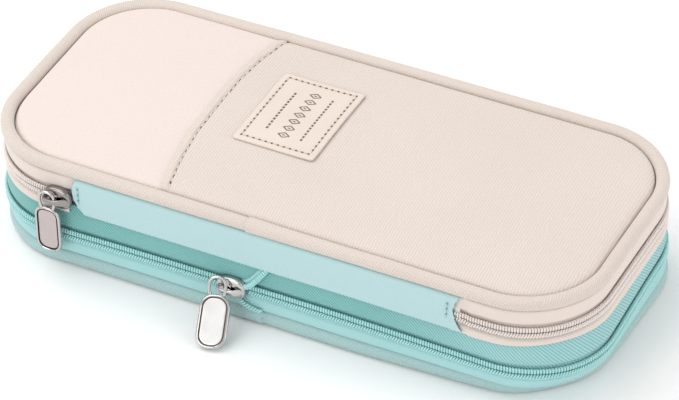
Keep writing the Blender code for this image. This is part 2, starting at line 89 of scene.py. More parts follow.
class Shade:
    """One Principled material with a short way to add and join nodes."""

    def __init__(self, name, colour, roughness, **finish):
        self.material = bpy.data.materials.new(name)
        self.material.use_nodes = True
        self.tree = self.material.node_tree
        self.shader = self.tree.nodes["Principled BSDF"]
        self.colour = colour
        for socket, value in {"Base Color": (*colour, 1.0), "Roughness": roughness, **finish}.items():
            self.shader.inputs[socket].default_value = value

    def node(self, kind, **values):
        made = self.tree.nodes.new(kind)
        for key, value in values.items():
            setattr(made, key, value)
        return made

    def join(self, source, target):
        self.tree.links.new(source, target)

    def math(self, operation, first, second=None, clamp=False):
        made = self.node("ShaderNodeMath", operation=operation, use_clamp=clamp)
        for socket, value in zip(made.inputs, (first, second)):
            if isinstance(value, (int, float)):
                socket.default_value = value
            elif value is not None:
                self.join(value, socket)
        return made.outputs[0]

    def add(self, total, *terms, clamp=False):
        for term in terms:
            total = self.math("ADD", total, term, clamp)
        return total

    def times(self, product, *factors):
        for factor in factors:
            product = self.math("MULTIPLY", product, factor)
        return product

    def minus(self, first, second, clamp=False):
        return self.math("SUBTRACT", first, second, clamp)

    def uv(self):
        """The two surface distances in millimetres."""
        split = self.node("ShaderNodeSeparateXYZ")
        self.join(self.node("ShaderNodeUVMap", uv_map="surface").outputs[0], split.inputs[0])
        return self.times(split.outputs[0], 1000.0), self.times(split.outputs[1], 1000.0)

    def place(self):
        return self.node("ShaderNodeTexCoord").outputs["Object"]

    def noise(self, scale, detail=2.0, vector=None):
        made = self.node("ShaderNodeTexNoise")
        made.inputs["Scale"].default_value = scale
        made.inputs["Detail"].default_value = detail
        self.join(vector or self.place(), made.inputs["Vector"])
        return made.outputs[0]

    def patches(self, scale, detail, amount):
        """Broad lighter and darker areas, around 0."""
        return self.times(self.minus(self.noise(scale, detail), 0.5), amount)

    def wave(self, along, pitch):
        """0 to 1 and back once each pitch."""
        return self.add(self.times(self.math("SINE", self.times(along, 2 * math.pi / pitch)), 0.5), 0.5)

    def tint(self, amount, dark, light=(1.0, 1.0, 1.0)):
        """The base colour times dark..light as the amount goes from 0 to 1."""
        mix = self.node("ShaderNodeMix", data_type="RGBA")
        self.join(amount, mix.inputs["Factor"])
        for socket, shade in (("A", dark), ("B", light)):
            mix.inputs[socket].default_value = (*[a * b for a, b in zip(self.colour, shade)], 1.0)
        return mix.outputs["Result"]

    def dress(self, colour, height, relief, strength):
        """Give the shader its colour and its relief, in millimetres."""
        self.join(colour, self.shader.inputs["Base Color"])
        bump = self.node("ShaderNodeBump")
        bump.inputs["Strength"].default_value = strength
        bump.inputs["Distance"].default_value = relief * MM
        self.join(height, bump.inputs["Height"])
        self.join(bump.outputs["Normal"], self.shader.inputs["Normal"])
        return self.material


def twill_canvas(name, colour, pitch, angle, depth, relief):
    """Cotton canvas: diagonal ridges broken into short staggered threads."""
    s = Shade(name, colour, 0.92, **{"Sheen Weight": 0.25, "Sheen Roughness": 0.5})
    u, v = s.uv()
    c, k = math.cos(math.radians(angle)), math.sin(math.radians(angle))
    across = s.add(s.minus(s.times(u, k), s.times(v, c)), s.times(s.noise(420.0, 3.0), 0.9))
    along = s.add(s.times(u, c), s.times(v, k))
    row = s.math("FLOOR", s.math("DIVIDE", across, pitch))
    thread = s.wave(s.add(along, s.times(row, pitch * 0.45)), pitch * 0.9)
    height = s.times(s.wave(across, pitch), s.add(s.times(thread, 0.55), 0.25))
    height = s.add(height, s.times(s.noise(1500.0, 3.0), 0.40))
    shade = s.add(height, s.patches(22.0, 3.0, 0.28), clamp=True)
    dark = (1 - depth * 1.5, 1 - depth * 1.65, 1 - depth * 1.75)
    return s.dress(s.tint(shade, dark), height, relief, 0.9)


def woven_tape(name, colour, depth, relief, stitch_height, painted_light_from=None):
    """Zipper tape: herringbone ridges that turn at the fold line, with a sewing line along it whose stitch
    holes are darkened as painted shade.

    With painted_light_from it turns paler from that x on, towards the right end: painted light where the
    right end is better lit."""
    s = Shade(name, colour, 0.80, **{"Sheen Weight": 0.2})
    u, v = s.uv()
    slant = s.add(u, s.times(s.math("PINGPONG", v, 12.0), 1.05), s.times(s.noise(220.0), 0.4))
    height = s.add(s.times(s.wave(slant, 1.32), 0.7), s.times(s.wave(v, 0.42), 0.12),
                   s.times(s.noise(2600.0), 0.18))
    shade = s.add(height, s.patches(18.0, 2.0, 0.35), clamp=True)
    # sewing line: dotted stitch holes, pressed into the relief and darkened as painted shade
    near = s.math("ABSOLUTE", s.minus(v, stitch_height))
    line = s.minus(1.0, s.times(near, 4.5), clamp=True)
    cut = s.times(line, s.math("GREATER_THAN", s.wave(u, 0.95), 0.35), 0.75)
    body = s.tint(s.minus(shade, cut, clamp=True), (1 - depth * 2.4, 1 - depth * 1.6, 1 - depth * 1.6))
    # painted light: paler towards the better-lit right end
    if painted_light_from is not None:
        split = s.node("ShaderNodeSeparateXYZ")
        s.join(s.place(), split.inputs[0])
        amount = s.math("DIVIDE", s.minus(split.outputs[0], painted_light_from), 50 * MM, clamp=True)
        painted_light = s.node("ShaderNodeMix", data_type="RGBA", blend_type="MULTIPLY")
        s.join(amount, painted_light.inputs["Factor"])
        s.join(body, painted_light.inputs["A"])
        painted_light.inputs["B"].default_value = (1.60, 1.22, 1.27, 1.0)
        body = painted_light.outputs["Result"]
    return s.dress(body, s.minus(height, cut), relief, 0.9)


def nylon(name, colour):
    s = Shade(name, colour, 0.33, **{"Coat Weight": 0.25})
    grain = s.noise(900.0)
    return s.dress(s.tint(grain, (0.80, 0.88, 0.88), (1.06, 1.03, 1.03)), grain, 0.02, 0.5)


def nickel(name, colour, roughness, scratches):
    s = Shade(name, colour, roughness, Metallic=1.0)
    stretch = s.node("ShaderNodeMapping")
    stretch.inputs["Scale"].default_value = (900.0, 900.0, 90.0)
    s.join(s.place(), stretch.inputs["Vector"])
    cloud = s.noise(300.0, 3.0)
    s.join(s.add(s.times(cloud, 0.16), roughness - 0.06), s.shader.inputs["Roughness"])
    colour = s.tint(cloud, (0.90, 0.89, 0.88), (1.04, 1.04, 1.04))
    return s.dress(colour, s.noise(1.0, 2.0, stretch.outputs[0]), scratches, 0.6)


def imitation_leather(name, colour):
    s = Shade(name, colour, 0.62)
    grain = s.noise(1500.0, 4.0)
    shade = s.add(s.times(grain, 0.55), s.times(s.noise(60.0, 3.0), 0.6), clamp=True)
    return s.dress(s.tint(shade, (0.86, 0.83, 0.80), (1.05, 1.05, 1.05)), grain, 0.035, 0.7)


def plain_weave(name, colour, pitch=0.5):
    s = Shade(name, colour, 0.75)
    u, v = s.uv()
    height = s.times(s.wave(u, pitch), s.wave(v, pitch))
    shade = s.add(s.times(height, 0.6), s.times(s.noise(40.0, 3.0), 0.5), clamp=True)
    return s.dress(s.tint(shade, (0.82, 0.82, 0.82)), height, 0.03, 0.7)


def speckled(name, colour, scale, depth, roughness=0.9):
    """Foam, board, paper and print: an even grain, without surface distances."""
    s = Shade(name, colour, roughness)
    grain = s.noise(scale, 4.0)
    return s.dress(s.tint(grain, (1 - depth,) * 3, (1 + depth * 0.3,) * 3), grain, 0.05, 0.6)


MATS = {
    "panel": twill_canvas("blush_canvas", BLUSH, pitch=0.97, angle=92, depth=0.09, relief=0.08),
    "pocket": twill_canvas("cream_canvas", CREAM, pitch=0.97, angle=92, depth=0.16, relief=0.12),
    "lid_bead": twill_canvas("cream_piping", CREAM, pitch=0.80, angle=64, depth=0.20, relief=0.10),
    "lid_wall": woven_tape("beige_wall", BEIGE, depth=0.05, relief=0.04, stitch_height=3.6),
    "band": twill_canvas("band_canvas", BAND_MINT, pitch=0.80, angle=80, depth=0.05, relief=0.04),
    "mint_bead": twill_canvas("mint_piping", PIPING_MINT, pitch=0.80, angle=64, depth=0.20, relief=0.10),
    # case wall tape: painted shade from the band above, with painted light towards the right end
    "mint_tape": woven_tape("mint_tape", SHADED_TAPE_MINT, depth=0.26, relief=0.14, stitch_height=4.0,
                            painted_light_from=40 * MM),
    "pale_mint_tape": woven_tape("mint_tape_smooth", PALE_TAPE_MINT, depth=0.10, relief=0.05,
                                 stitch_height=7.7),
    # needle holes: painted shade
    "hole_shade": speckled("needle_hole_shade", HOLE_SHADE, 900.0, 0.3),
    "mint_hole_shade": speckled("mint_needle_hole_shade", (0.170, 0.380, 0.390), 900.0, 0.3),
    # painted shade for the groove round the pull plates
    "groove_shade_nickel": nickel("painted_groove_shade", (0.16, 0.14, 0.13), 0.35, 0.006),
    "mauve_nickel": nickel("brushed_nickel", (0.56, 0.495, 0.485), 0.38, 0.03),
    "binding": speckled("beige_binding", BEIGE, 1500.0, 0.25),
    "label_thread": nylon("label_thread", (0.74, 0.62, 0.53)),
    "beige_tape": woven_tape("beige_tape", BEIGE, depth=0.07, relief=0.04, stitch_height=3.5),
    "mint_coil": nylon("mint_nylon", COIL_MINT),
    "beige_coil": nylon("beige_nylon", COIL_BEIGE),
    "nickel": nickel("polished_nickel", (0.60, 0.575, 0.565), 0.20, 0.006),
    "gunmetal": nickel("smoky_nickel", (0.34, 0.31, 0.305), 0.22, 0.006),
    "satin": nickel("satin_nickel", (0.80, 0.79, 0.78), 0.34, 0.012),
    "label": imitation_leather("label_leather", LABEL),
    "lining": plain_weave("lining_cloth", LINING),
    "thread": nylon("sewing_thread", THREAD),
    "mint_thread": nylon("mint_thread", BAND_MINT),
    "ink": speckled("printed_lines", INK, 900.0, 0.35),
    "foam": speckled("foam_core", (0.80, 0.80, 0.78), 1400.0, 0.25),
    "board": speckled("stiffener_board", (0.42, 0.33, 0.23), 700.0, 0.35),
    "net": nylon("net_thread", (0.80, 0.78, 0.74)),
}


# ================================================================ small formulas

def unit(t):
    return min(max(t, 0.0), 1.0)


def ramp(t):
    """0 to 1 with a gentle start and end."""
    t = unit(t)
    return t * t * (3 - 2 * t)


def bell(value, middle, reach):
    """1 at the middle, fading to 0 on both sides of it."""
    return math.exp(-(((value - middle) / reach) ** 2))


def hill(x, y, middle_x, middle_y, reach_x, reach_y):
    """1 at a middle given in millimetres, fading to 0 all round it."""
    return math.exp(-(((x / MM - middle_x) / reach_x) ** 2) - ((y / MM - middle_y) / reach_y) ** 2)


def wobble(amount, x, y, z):
    """A smooth unevenness, the same each run."""
    return amount * noise.noise(Vector((x, y, z)))


def circle(count):
    return [2 * math.pi * k / count for k in range(count)]


def spline(points, per_span):
    """A smooth line through the points."""
    spots = [Vector(p) for p in points]
    last = len(spots) - 1
    out = []
    for i in range(last):
        p0, p1, p2, p3 = spots[max(i - 1, 0)], spots[i], spots[i + 1], spots[min(i + 2, last)]
        for step in range(per_span):
            t = step / per_span
            out.append((p1 * 2 + (p2 - p0) * t + (p0 * 2 - p1 * 5 + p2 * 4 - p3) * t * t
                        + (-p0 + p1 * 3 - p2 * 3 + p3) * t ** 3) * 0.5)
    out.append(spots[-1])
    return out


def smooth_profile(*points):
    """A rounder profile through the given (inset, z) points, in millimetres."""
    return [tuple(p) for p in spline([Vector(p) * MM for p in points], 4)]


# ================================================================ meshes

def mesh_object(name, points, faces, uvs, material, smooth=True):
    """An object from points, faces as index lists, and one uv for each point."""
    mesh = bpy.data.meshes.new(name)
    mesh.from_pydata([tuple(p) for p in points], [], [tuple(f) for f in faces])
    if uvs is not None:
        layer = mesh.uv_layers.new(name="surface")
        index = np.empty(len(mesh.loops), dtype=np.int32)
        mesh.loops.foreach_get("vertex_index", index)
        layer.data.foreach_set("uv", np.asarray(uvs, dtype=np.float32)[index].ravel())
    mesh.materials.append(material)
    if smooth:
        mesh.shade_smooth()
    item = bpy.data.objects.new(name, mesh)
    bpy.context.scene.collection.objects.link(item)
    return item


def grid_faces(rows, columns, close_rows=False, close_columns=False):
    faces = []
    for i in range(rows if close_rows else rows - 1):
        for j in range(columns if close_columns else columns - 1):
            k = (i + 1) % rows
            n = (j + 1) % columns
            faces.append((i * columns + j, k * columns + j, k * columns + n, i * columns + n))
    return faces


def flipped(faces):
    return [tuple(reversed(face)) for face in faces]


def loft(name, rings, material):
    """A closed skin over rings of equal length."""
    count = len(rings[0])
    faces = grid_faces(len(rings), count, close_columns=True)
    faces.append(tuple(reversed(range(count))))
    faces.append(tuple(range((len(rings) - 1) * count, len(rings) * count)))
    return mesh_object(name, [p for ring in rings for p in ring], faces, None, material)


def tube(name, points, radius, material, sides=10):
    """A round wire through the points."""
    spots = np.array([tuple(p) for p in points])
    tangent = np.gradient(spots, axis=0)
    tangent /= np.linalg.norm(tangent, axis=1, keepdims=True)
    side = np.cross(tangent[0], (0.31, 0.62, 0.72))
    rings = []
    for spot, along in zip(spots, tangent):
        side = side - along * np.dot(side, along)
        side /= np.linalg.norm(side)
        up = np.cross(along, side)
        rings.append([spot + radius * (math.cos(turn) * side + math.sin(turn) * up)
                      for turn in circle(sides)])
    return loft(name, rings, material)


def subdivide(item, levels):
    made = item.modifiers.new("rounder", "SUBSURF")
    made.levels = levels
    made.render_levels = levels


def thicken(item, thickness):
    """Give a surface the thickness of its cloth, away from its outer face."""
    made = item.modifiers.new("cloth", "SOLIDIFY")
    made.thickness = thickness
    made.offset = -1.0
    made.use_even_offset = False
    return item


def put(item, body, *nodes, slot):
    """The piece rides on its body and stands for its CAD nodes; slot is not used.

    A piece without a body has its transform baked into its mesh at the end of the script."""
    if body:
        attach(item, body)
    if nodes:
        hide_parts(*nodes)
    return item


# ================================================================ the case's outline

FRONT_LEG = HALF_LENGTH - CORNER_RADIUS
SIDE_LEG = HALF_WIDTH - CORNER_RADIUS
QUARTER = CORNER_RADIUS * math.pi / 2
TOTAL = 4 * (FRONT_LEG + SIDE_LEG + QUARTER)
OUTLINE = (  # length, start or corner centre, heading of a straight run, first angle of a corner
    (FRONT_LEG, (0.0, -HALF_WIDTH), (1, 0), None),
    (QUARTER, (FRONT_LEG, -SIDE_LEG), None, -90),
    (2 * SIDE_LEG, (HALF_LENGTH, -SIDE_LEG), (0, 1), None),
    (QUARTER, (FRONT_LEG, SIDE_LEG), None, 0),
    (2 * FRONT_LEG, (FRONT_LEG, HALF_WIDTH), (-1, 0), None),
    (QUARTER, (-FRONT_LEG, SIDE_LEG), None, 90),
    (2 * SIDE_LEG, (-HALF_LENGTH, SIDE_LEG), (0, -1), None),
    (QUARTER, (-FRONT_LEG, -SIDE_LEG), None, 180),
    (FRONT_LEG, (-FRONT_LEG, -HALF_WIDTH), (1, 0), None),
)
TUCK = 2.0 * MM


def outline_point(walk):
    """Place and outward direction at a walked distance from the front middle, towards +X first."""
    walk = walk % TOTAL
    for length, start, heading, angle in OUTLINE:
        if walk <= length + 1e-9:
            if heading:
                return (start[0] + heading[0] * walk, start[1] + heading[1] * walk), (heading[1], -heading[0])
            turn = math.radians(angle + 90 * walk / length)
            out = (math.cos(turn), math.sin(turn))
            return (start[0] + out[0] * CORNER_RADIUS, start[1] + out[1] * CORNER_RADIUS), out
        walk -= length
    return (0.0, -HALF_WIDTH), (0.0, -1.0)


def walk_at(x):
    """Walked distance of a place on the front wall."""
    return x if x >= 0 else TOTAL + x


def inside_distance(x, y, inset):
    """How far a place is inside the outline moved in by inset."""
    radius = CORNER_RADIUS - inset
    across = abs(x) - (HALF_LENGTH - inset - radius)
    along = abs(y) - (HALF_WIDTH - inset - radius)
    corner = math.hypot(max(across, 0), max(along, 0))
    return radius - corner - min(max(across, along), 0)


def half_width_at(x, inset):
    radius = CORNER_RADIUS - inset
    past = max(abs(x) - (HALF_LENGTH - inset - radius), 0)
    return HALF_WIDTH - inset - radius + math.sqrt(max(radius ** 2 - past ** 2, 0))


def right_corner(x, y):
    """1 in the middle of the right front corner, fading to 0 on both sides of it."""
    return hill(x, y, 100, -38, 15, 20)


def sag(x, y, z):
    """How far the cloth near the expansion zipper droops at the right end, in metres."""
    return -1.9 * MM * hill(x, y, 106, -22, 15, 26) * bell(z / MM, 14, 6)


def push(x, y, z):
    """How far the soft sides lean out (+) or in (-) of the plain outline, in metres."""
    height = z / MM
    right = hill(x, y, 92, -40, 42, 45)
    left = hill(x, y, -96, -30, 40, 45)
    behind = hill(x, y, -90, 45, 60, 40)
    belly = bell(height, 15, 7)
    low = bell(height, 1.5, 4.5)
    high = bell(height, 42, 4)
    lean = right * (1.5 * belly - 2.3 * low) - right_corner(x, y) * 0.9 * low
    return (lean + left * 0.9 * belly - behind * 0.8 * high) * MM


def under_band(x, y, z):
    """Extra inset where the lid's zipper and its tapes run in behind the ends of the spine band."""
    if z < 20 * MM or y > -HALF_WIDTH + 0.01 * MM:
        return 0.0
    inside = min(x - BAND_LOW.x, BAND_HIGH.x - x)
    return 0.55 * MM * unit((inside + 2.6 * MM) / (1.6 * MM))


def as_drawn(_walk, _x, _y, inset, z):
    return inset, z, 0.0


def around(name, profile, material, start=None, end=None, count=420, soft=0.15 * MM, shape=as_drawn):
    """A surface that follows the outline; profile is a list of (inset, z), outer side first to last.

    shape(walk, x, y, inset, z) gives a profile point's inset and z there, and how far it slides along
    the outline. Its uv is walked distance and profile distance."""
    lengths = [0.0]
    for (i0, z0), (i1, z1) in zip(profile, profile[1:]):
        lengths.append(lengths[-1] + math.hypot(i1 - i0, z1 - z0))
    points, uvs = [], []
    closed = start is None
    for walk in np.linspace(0.0 if closed else start, TOTAL if closed else end, count + 1):
        (x, y), (nx, ny) = outline_point(walk)
        for (inset, z), length in zip(profile, lengths):
            depth, level, slide = shape(walk, x, y, inset, z)
            depth -= wobble(soft, x * 38, y * 38, z * 60) + push(x, y, level)
            level += sag(x, y, level)
            points.append((x - nx * depth - ny * slide, y - ny * depth + nx * slide, level))
            uvs.append((walk, length))
    item = mesh_object(name, points, grid_faces(count + 1, len(profile)), uvs, material)
    if closed:
        weld = item.modifiers.new("close", "WELD")
        weld.merge_threshold = 0.01 * MM
    return item


def disc(name, material, height, start_inset, rings, stations=260, flip=False, edge_z=None):
    """Cloth filling the outline from start_inset in to the middle line; height(x, y) is its level.

    With edge_z its edge leans in and out as the wall does at that height."""
    middle = HALF_LENGTH - HALF_WIDTH
    points, uvs = [], []
    for i in range(stations):
        (x, y), (nx, ny) = outline_point(TOTAL * i / stations)
        inset = start_inset
        if edge_z is not None:
            inset += right_corner(x, y) * TUCK - push(x, y, edge_z)
        x0, y0 = x - nx * inset, y - ny * inset
        x1 = min(max(x0, -middle), middle)
        for j in range(rings + 1):
            t = (j / rings) ** 1.5
            px, py = x0 + (x1 - x0) * t, y0 * (1 - t)
            points.append((px, py, height(px, py)))
            uvs.append((px, py))
    faces = grid_faces(stations, rings + 1, close_rows=True)
    item = mesh_object(name, points, flipped(faces) if flip else faces, uvs, material)
    shape = bmesh.new()
    shape.from_mesh(item.data)
    bmesh.ops.remove_doubles(shape, verts=shape.verts, dist=0.02 * MM)
    bmesh.ops.dissolve_degenerate(shape, edges=shape.edges, dist=0.01 * MM)
    shape.to_mesh(item.data)
    shape.free()
    return item


PIPING_SIDES = 20
LAP = 2.6 * MM
LAP_ROUND = 0.9 * MM


def bead(name, inset, z, half_width, half_height, joint_x, material, fat, left_over=False):
    """Piping all round, lapped at joint_x on the front; left_over says which end lies on top."""
    start = walk_at(joint_x)
    low = z < 10 * MM

    def shape(walk, x, y, i, height):
        gone = walk - start
        left = TOTAL + LAP - gone
        if left_over:
            gone, left = left, gone
        size = 1 + fat * math.exp(-max(gone, 0) / (14 * MM))
        if gone < LAP_ROUND:
            size *= math.sqrt(max(1 - (1 - max(gone, 0) / LAP_ROUND) ** 2, 0.0)) * 0.9 + 0.1
        size *= 1 - 0.10 * math.exp(-max(left, 0) / (6 * MM))
        size *= 1 + wobble(0.035, x * 60, y * 60, z * 400)
        tuck = right_corner(x, y) * TUCK if low else 0.0
        raised = max(size - 1, 0) * half_height if low else 0.0
        return inset + tuck + (i - inset) * size, z + raised + (height - z) * size, 0.0

    turns = [2 * math.pi * i / PIPING_SIDES for i in range(PIPING_SIDES, -1, -1)]
    profile = [(inset + half_width * math.cos(t), z + half_height * math.sin(t)) for t in turns]
    item = around(name, profile, material, start, start + TOTAL + LAP, 620, 0.12 * MM, shape)
    closed = bmesh.new()
    closed.from_mesh(item.data)
    bmesh.ops.remove_doubles(closed, verts=closed.verts, dist=0.001 * MM)
    bmesh.ops.holes_fill(closed, edges=[e for e in closed.edges if e.is_boundary], sides=60)
    closed.to_mesh(item.data)
    closed.free()
    return item


# ================================================================ zipper coils and sewing

COIL_PITCH = 0.95 * MM
COIL_WIRE = 0.43 * MM
COIL_REACH = 2.25 * MM
COIL_DEPTH = 0.36 * MM
TURN_POINTS = 9
WIRE_SIDES = 5
CHAIN_INSET = 0.85 * MM


def coil_mesh(name, path, side, start, end, material, phase=0.0):
    """A flattened nylon coil along a path.

    path(distance) gives (centre point of the chain, outward direction, direction across the chain).
    side is +1 for the half above the parting plane and -1 for the half below it."""
    total = int((end - start) / COIL_PITCH) * TURN_POINTS
    t = np.arange(total + 1) / TURN_POINTS
    angle = 2 * np.pi * (t + phase)
    middle = COIL_REACH / 2
    across = side * (middle + (middle - COIL_WIRE - 0.02 * MM) * np.cos(angle))
    depth = COIL_DEPTH * np.sin(angle)
    distance = start + t * COIL_PITCH + side * 0.22 * COIL_PITCH * np.cos(angle)
    spots, out, up = (np.array(part) for part in zip(*[path(d) for d in distance]))
    centres = spots + out * depth[:, None] + up * across[:, None]
    tangent = np.gradient(centres, axis=0)
    tangent /= np.linalg.norm(tangent, axis=1, keepdims=True)
    first = np.cross(tangent, out)
    short = np.linalg.norm(first, axis=1, keepdims=True)
    first = np.where(short < 0.2, np.cross(tangent, up), first)
    first /= np.linalg.norm(first, axis=1, keepdims=True)
    second = np.cross(tangent, first)
    turn = (np.arange(WIRE_SIDES) * 2 * np.pi / WIRE_SIDES)[None, :, None]
    points = centres[:, None] + COIL_WIRE * (np.cos(turn) * first[:, None] + np.sin(turn) * second[:, None])
    faces = grid_faces(total + 1, WIRE_SIDES, close_columns=True)
    faces.append(tuple(range(WIRE_SIDES)))
    faces.append(tuple(total * WIRE_SIDES + k for k in reversed(range(WIRE_SIDES))))
    return mesh_object(name, points.reshape(-1, 3), faces, None, material)


def wall_path(z):
    """The chain's path on the wall at height z."""
    def path(walk):
        (x, y), (nx, ny) = outline_point(walk)
        depth = CHAIN_INSET - push(x, y, z) + under_band(x, y, z)
        return (x - nx * depth, y - ny * depth, z + sag(x, y, z)), (nx, ny, 0.0), (0.0, 0.0, 1.0)
    return path


def run_along(curve, pitch):
    """Evenly spaced (point, direction) along a list of points."""
    out = []
    carry = pitch / 2
    for a, b in zip(curve, curve[1:]):
        span = (b - a).length
        while carry <= span:
            out.append((a.lerp(b, carry / span), (b - a).normalized()))
            carry += pitch
        carry -= span
    return out


STITCH_SIDES = 6
STITCH_STEPS = 5
HOLE_SIDES = 8


def seam(name, line, pitch, length, radius, thread, hole_shade, normal_at, slot, body="lid"):
    """Sewing: short threads along the line, and the needle holes they go down into, coloured dark as painted
    shade.
    """
    pattern = flipped(grid_faces(STITCH_STEPS, STITCH_SIDES, close_columns=True))
    pattern.append(tuple(reversed(range(STITCH_SIDES))))
    pattern.append(tuple(range((STITCH_STEPS - 1) * STITCH_SIDES, STITCH_STEPS * STITCH_SIDES)))
    points, faces = [], []
    hole_points, hole_faces = [], []
    for spot, along in run_along(line, pitch):
        up = normal_at(spot)
        side = along.cross(up)
        faces += [tuple(len(points) + k for k in face) for face in pattern]
        for i in range(STITCH_STEPS):
            t = i / (STITCH_STEPS - 1) * 2 - 1
            lift = (1 - t * t) * radius * 1.1 - abs(t) ** 3 * radius * 1.6
            size = radius * (1.0 - 0.35 * abs(t) ** 3)
            centre = spot + along * (t * length / 2) + up * lift
            points += [centre + (side * math.cos(turn) + up * math.sin(turn)) * size
                       for turn in circle(STITCH_SIDES)]
        # each needle hole is a shallow cone in a dark colour: painted shade
        centre = spot + along * pitch / 2 + up * 0.11 * MM
        base = len(hole_points)
        hole_points += [centre + (along * math.cos(turn) * 1.4 + side * math.sin(turn)) * radius * 2.1
                        for turn in circle(HOLE_SIDES)]
        hole_points.append(centre - up * 0.12 * MM)
        hole_faces += [(base + k, base + HOLE_SIDES, base + (k + 1) % HOLE_SIDES) for k in range(HOLE_SIDES)]
    put(mesh_object(name, points, faces, None, thread), body, slot=slot)
    put(mesh_object(name + "_hole_shade", hole_points, hole_faces, None, hole_shade), body, slot=slot)


# ================================================================ base

BASE_JOINT_X = -3.6 * MM
BASE_BEAD_Z = 3.2 * MM

base_bead = bead("base_bead", 2.75 * MM, BASE_BEAD_Z, 2.75 * MM, 3.1 * MM, BASE_JOINT_X, MATS["mint_bead"],
                 0.22, left_over=True)
put(base_bead, "base", "base_piping", slot="mint_canvas")


def wall_foot(_walk, x, y, inset, z):
    """At the right front corner the wall's lower edge reaches down over the piping."""
    low = unit((9.0 * MM - z) / (3.4 * MM)) * right_corner(x, y)
    return inset + 0.7 * MM * low, z - 3.0 * MM * low, 0.0


base_wall = smooth_profile((4.2, 5.6), (3.0, 6.1), (1.9, 6.2), (1.0, 6.4), (0.7, 7.0), (0.75, 8.6),
                           (0.95, 10.2), (1.25, 10.8), (1.25, 11.1), (1.75, 11.5), (1.9, 11.9), (1.9, 13.2),
                           (2.4, 13.6), (3.2, 13.7))
put(around("base_wall", base_wall, MATS["pale_mint_tape"], shape=wall_foot), "base", "base_zipper_tape",
    slot="mint_tape")


def underside(x, y):
    inside = max(inside_distance(x, y, 2.2 * MM), 0)
    return 0.35 * MM + 0.5 * MM * math.exp(-inside / (2 * MM)) + wobble(0.12 * MM, x * 40, y * 40, 2)


def floor_level(x, y):
    inside = max(inside_distance(x, y, 5.2 * MM), 0)
    return 4.15 * MM + wobble(0.10 * MM, x * 30, y * 30, 7) + 1.2 * MM * math.exp(-inside / (1.1 * MM))


base_canvas = disc("base_canvas", MATS["mint_bead"], underside, 2.4 * MM, 30, flip=True, edge_z=BASE_BEAD_Z)
put(base_canvas, "base", "base_panel", slot="mint_canvas")

base_liner = disc("base_liner", MATS["lining"], floor_level, 5.3 * MM, 30)
put(base_liner, "base", "base_lining", slot="lining")


def off_the_foam(_walk, x, y, inset, z):
    """Where the soft sides lean out, the lining stays on the inner face of the straight foam strips."""
    return inset + max(push(x, y, z), 0.0), z, 0.0


liner_wall = smooth_profile((5.6, 4.6), (5.2, 6.5), (5.3, 9.5), (5.1, 12.6), (4.9, 13.5), (4.2, 13.75),
                            (3.0, 13.75))
put(around("base_liner_wall", liner_wall, MATS["lining"], shape=off_the_foam), "base", slot="lining")

# ================================================================ expansion gusset

FOLD_LOW_Z = 13.88 * MM
FOLD_STEPS = 11

gusset = [(2.2, 13.62), (3.2, 13.82), (4.6, 13.84), (5.0, 13.86)]
gusset += [(5.3 + 0.35 * math.sin(k * 1.1), FOLD_LOW_Z / MM + 0.024 * k) for k in range(FOLD_STEPS)]
gusset += [(5.0, 14.14), (4.6, 14.16), (3.2, 14.18), (2.2, 14.3)]


def fold_level(_walk, x, y, inset, z):
    """Keeps the fold level where the cloth in front of it droops, so it spreads evenly between the halves."""
    if z < FOLD_LOW_Z - 0.01 * MM:
        return inset, z, 0.0
    level = z
    for _ in range(6):
        level = z - sag(x, y, level)
    return inset + 0.25 * sag(x, y, z), level, 0.0


gusset_cloth = around("gusset_fold", [(i * MM, z * MM) for i, z in gusset], MATS["lining"], soft=0.05 * MM,
                      shape=fold_level)
put(gusset_cloth, None, "expansion_gusset", slot="lining")

# ================================================================ case

ZIP_START = walk_at(BAND_HIGH.x + 0.3 * MM)
ZIP_END = walk_at(BAND_LOW.x - 0.3 * MM)

case_wall = smooth_profile((3.2, 14.3), (2.4, 14.4), (1.9, 14.8), (1.9, 16.1), (1.75, 16.5), (1.25, 16.9),
                           (1.25, 17.2), (0.95, 17.8), (0.85, 19.0), (0.95, 21.0), (1.15, 23.0), (1.45, 24.3),
                           (1.55, 26.2), (2.2, 26.4))
put(around("case_wall", case_wall, MATS["mint_tape"]), "case", "case_zipper_tape", slot="mint_tape")


def tape_edge(_walk, x, y, inset, z):
    """The tape's lower edge climbs at the right front corner, and its ends go in behind the band."""
    climb = unit((25.5 * MM - z) / (2 * MM)) * 1.5 * MM * right_corner(x, y)
    return inset + under_band(x, y, z), z + climb, 0.0


tape_low = smooth_profile((1.3, 23.5), (0.75, 23.55), (0.5, 23.9), (0.5, 24.8), (0.65, 25.8), (1.1, 26.5),
                          (1.7, 26.9), (1.9, 27.4), (1.9, 28.9), (2.5, 29.3))
put(around("case_beige_tape", tape_low, MATS["beige_tape"], ZIP_START - 5 * MM, ZIP_END - 1.5 * MM, 520,
           shape=tape_edge), "case", "lid_tape_lower", slot="beige_tape")

case_liner = smooth_profile((4.6, 14.3), (5.2, 14.9), (5.3, 18), (5.2, 22), (5.3, 24.9))
put(around("case_liner", case_liner, MATS["lining"], shape=off_the_foam), "case", "case_lining",
    slot="lining")
rim_cover = smooth_profile((5.3, 24.6), (5.2, 27.5), (5.0, 29.1), (4.6, 29.6), (3.6, 29.66), (2.8, 29.55),
                           (2.5, 29.2))
put(around("case_rim_cover", rim_cover, MATS["lining"], ZIP_START, ZIP_END, shape=off_the_foam), "case",
    slot="lining")

# ================================================================ chains

CHAINS = (  # zipper, height, walked start and end, bodies of the upper and lower half, finish
    ("expander", EXPANDER_Z, walk_at(-6.3 * MM) - TOTAL, walk_at(-16.6 * MM), ("case", "base"), "mint_coil"),
    ("lid", LID_ZIP_Z, ZIP_START - 3.6 * MM, walk_at(-80.6 * MM), ("lid", "case"), "beige_coil"),
)
for zipper, z, start, end, bodies, finish in CHAINS:
    for half, side, body in zip(("upper", "lower"), (1, -1), bodies):
        chain = coil_mesh(zipper + "_chain_" + half, wall_path(z), side, start, end, MATS[finish],
                          0.5 if side > 0 else 0.0)
        put(chain, body, zipper + "_coil_" + half, slot=finish)


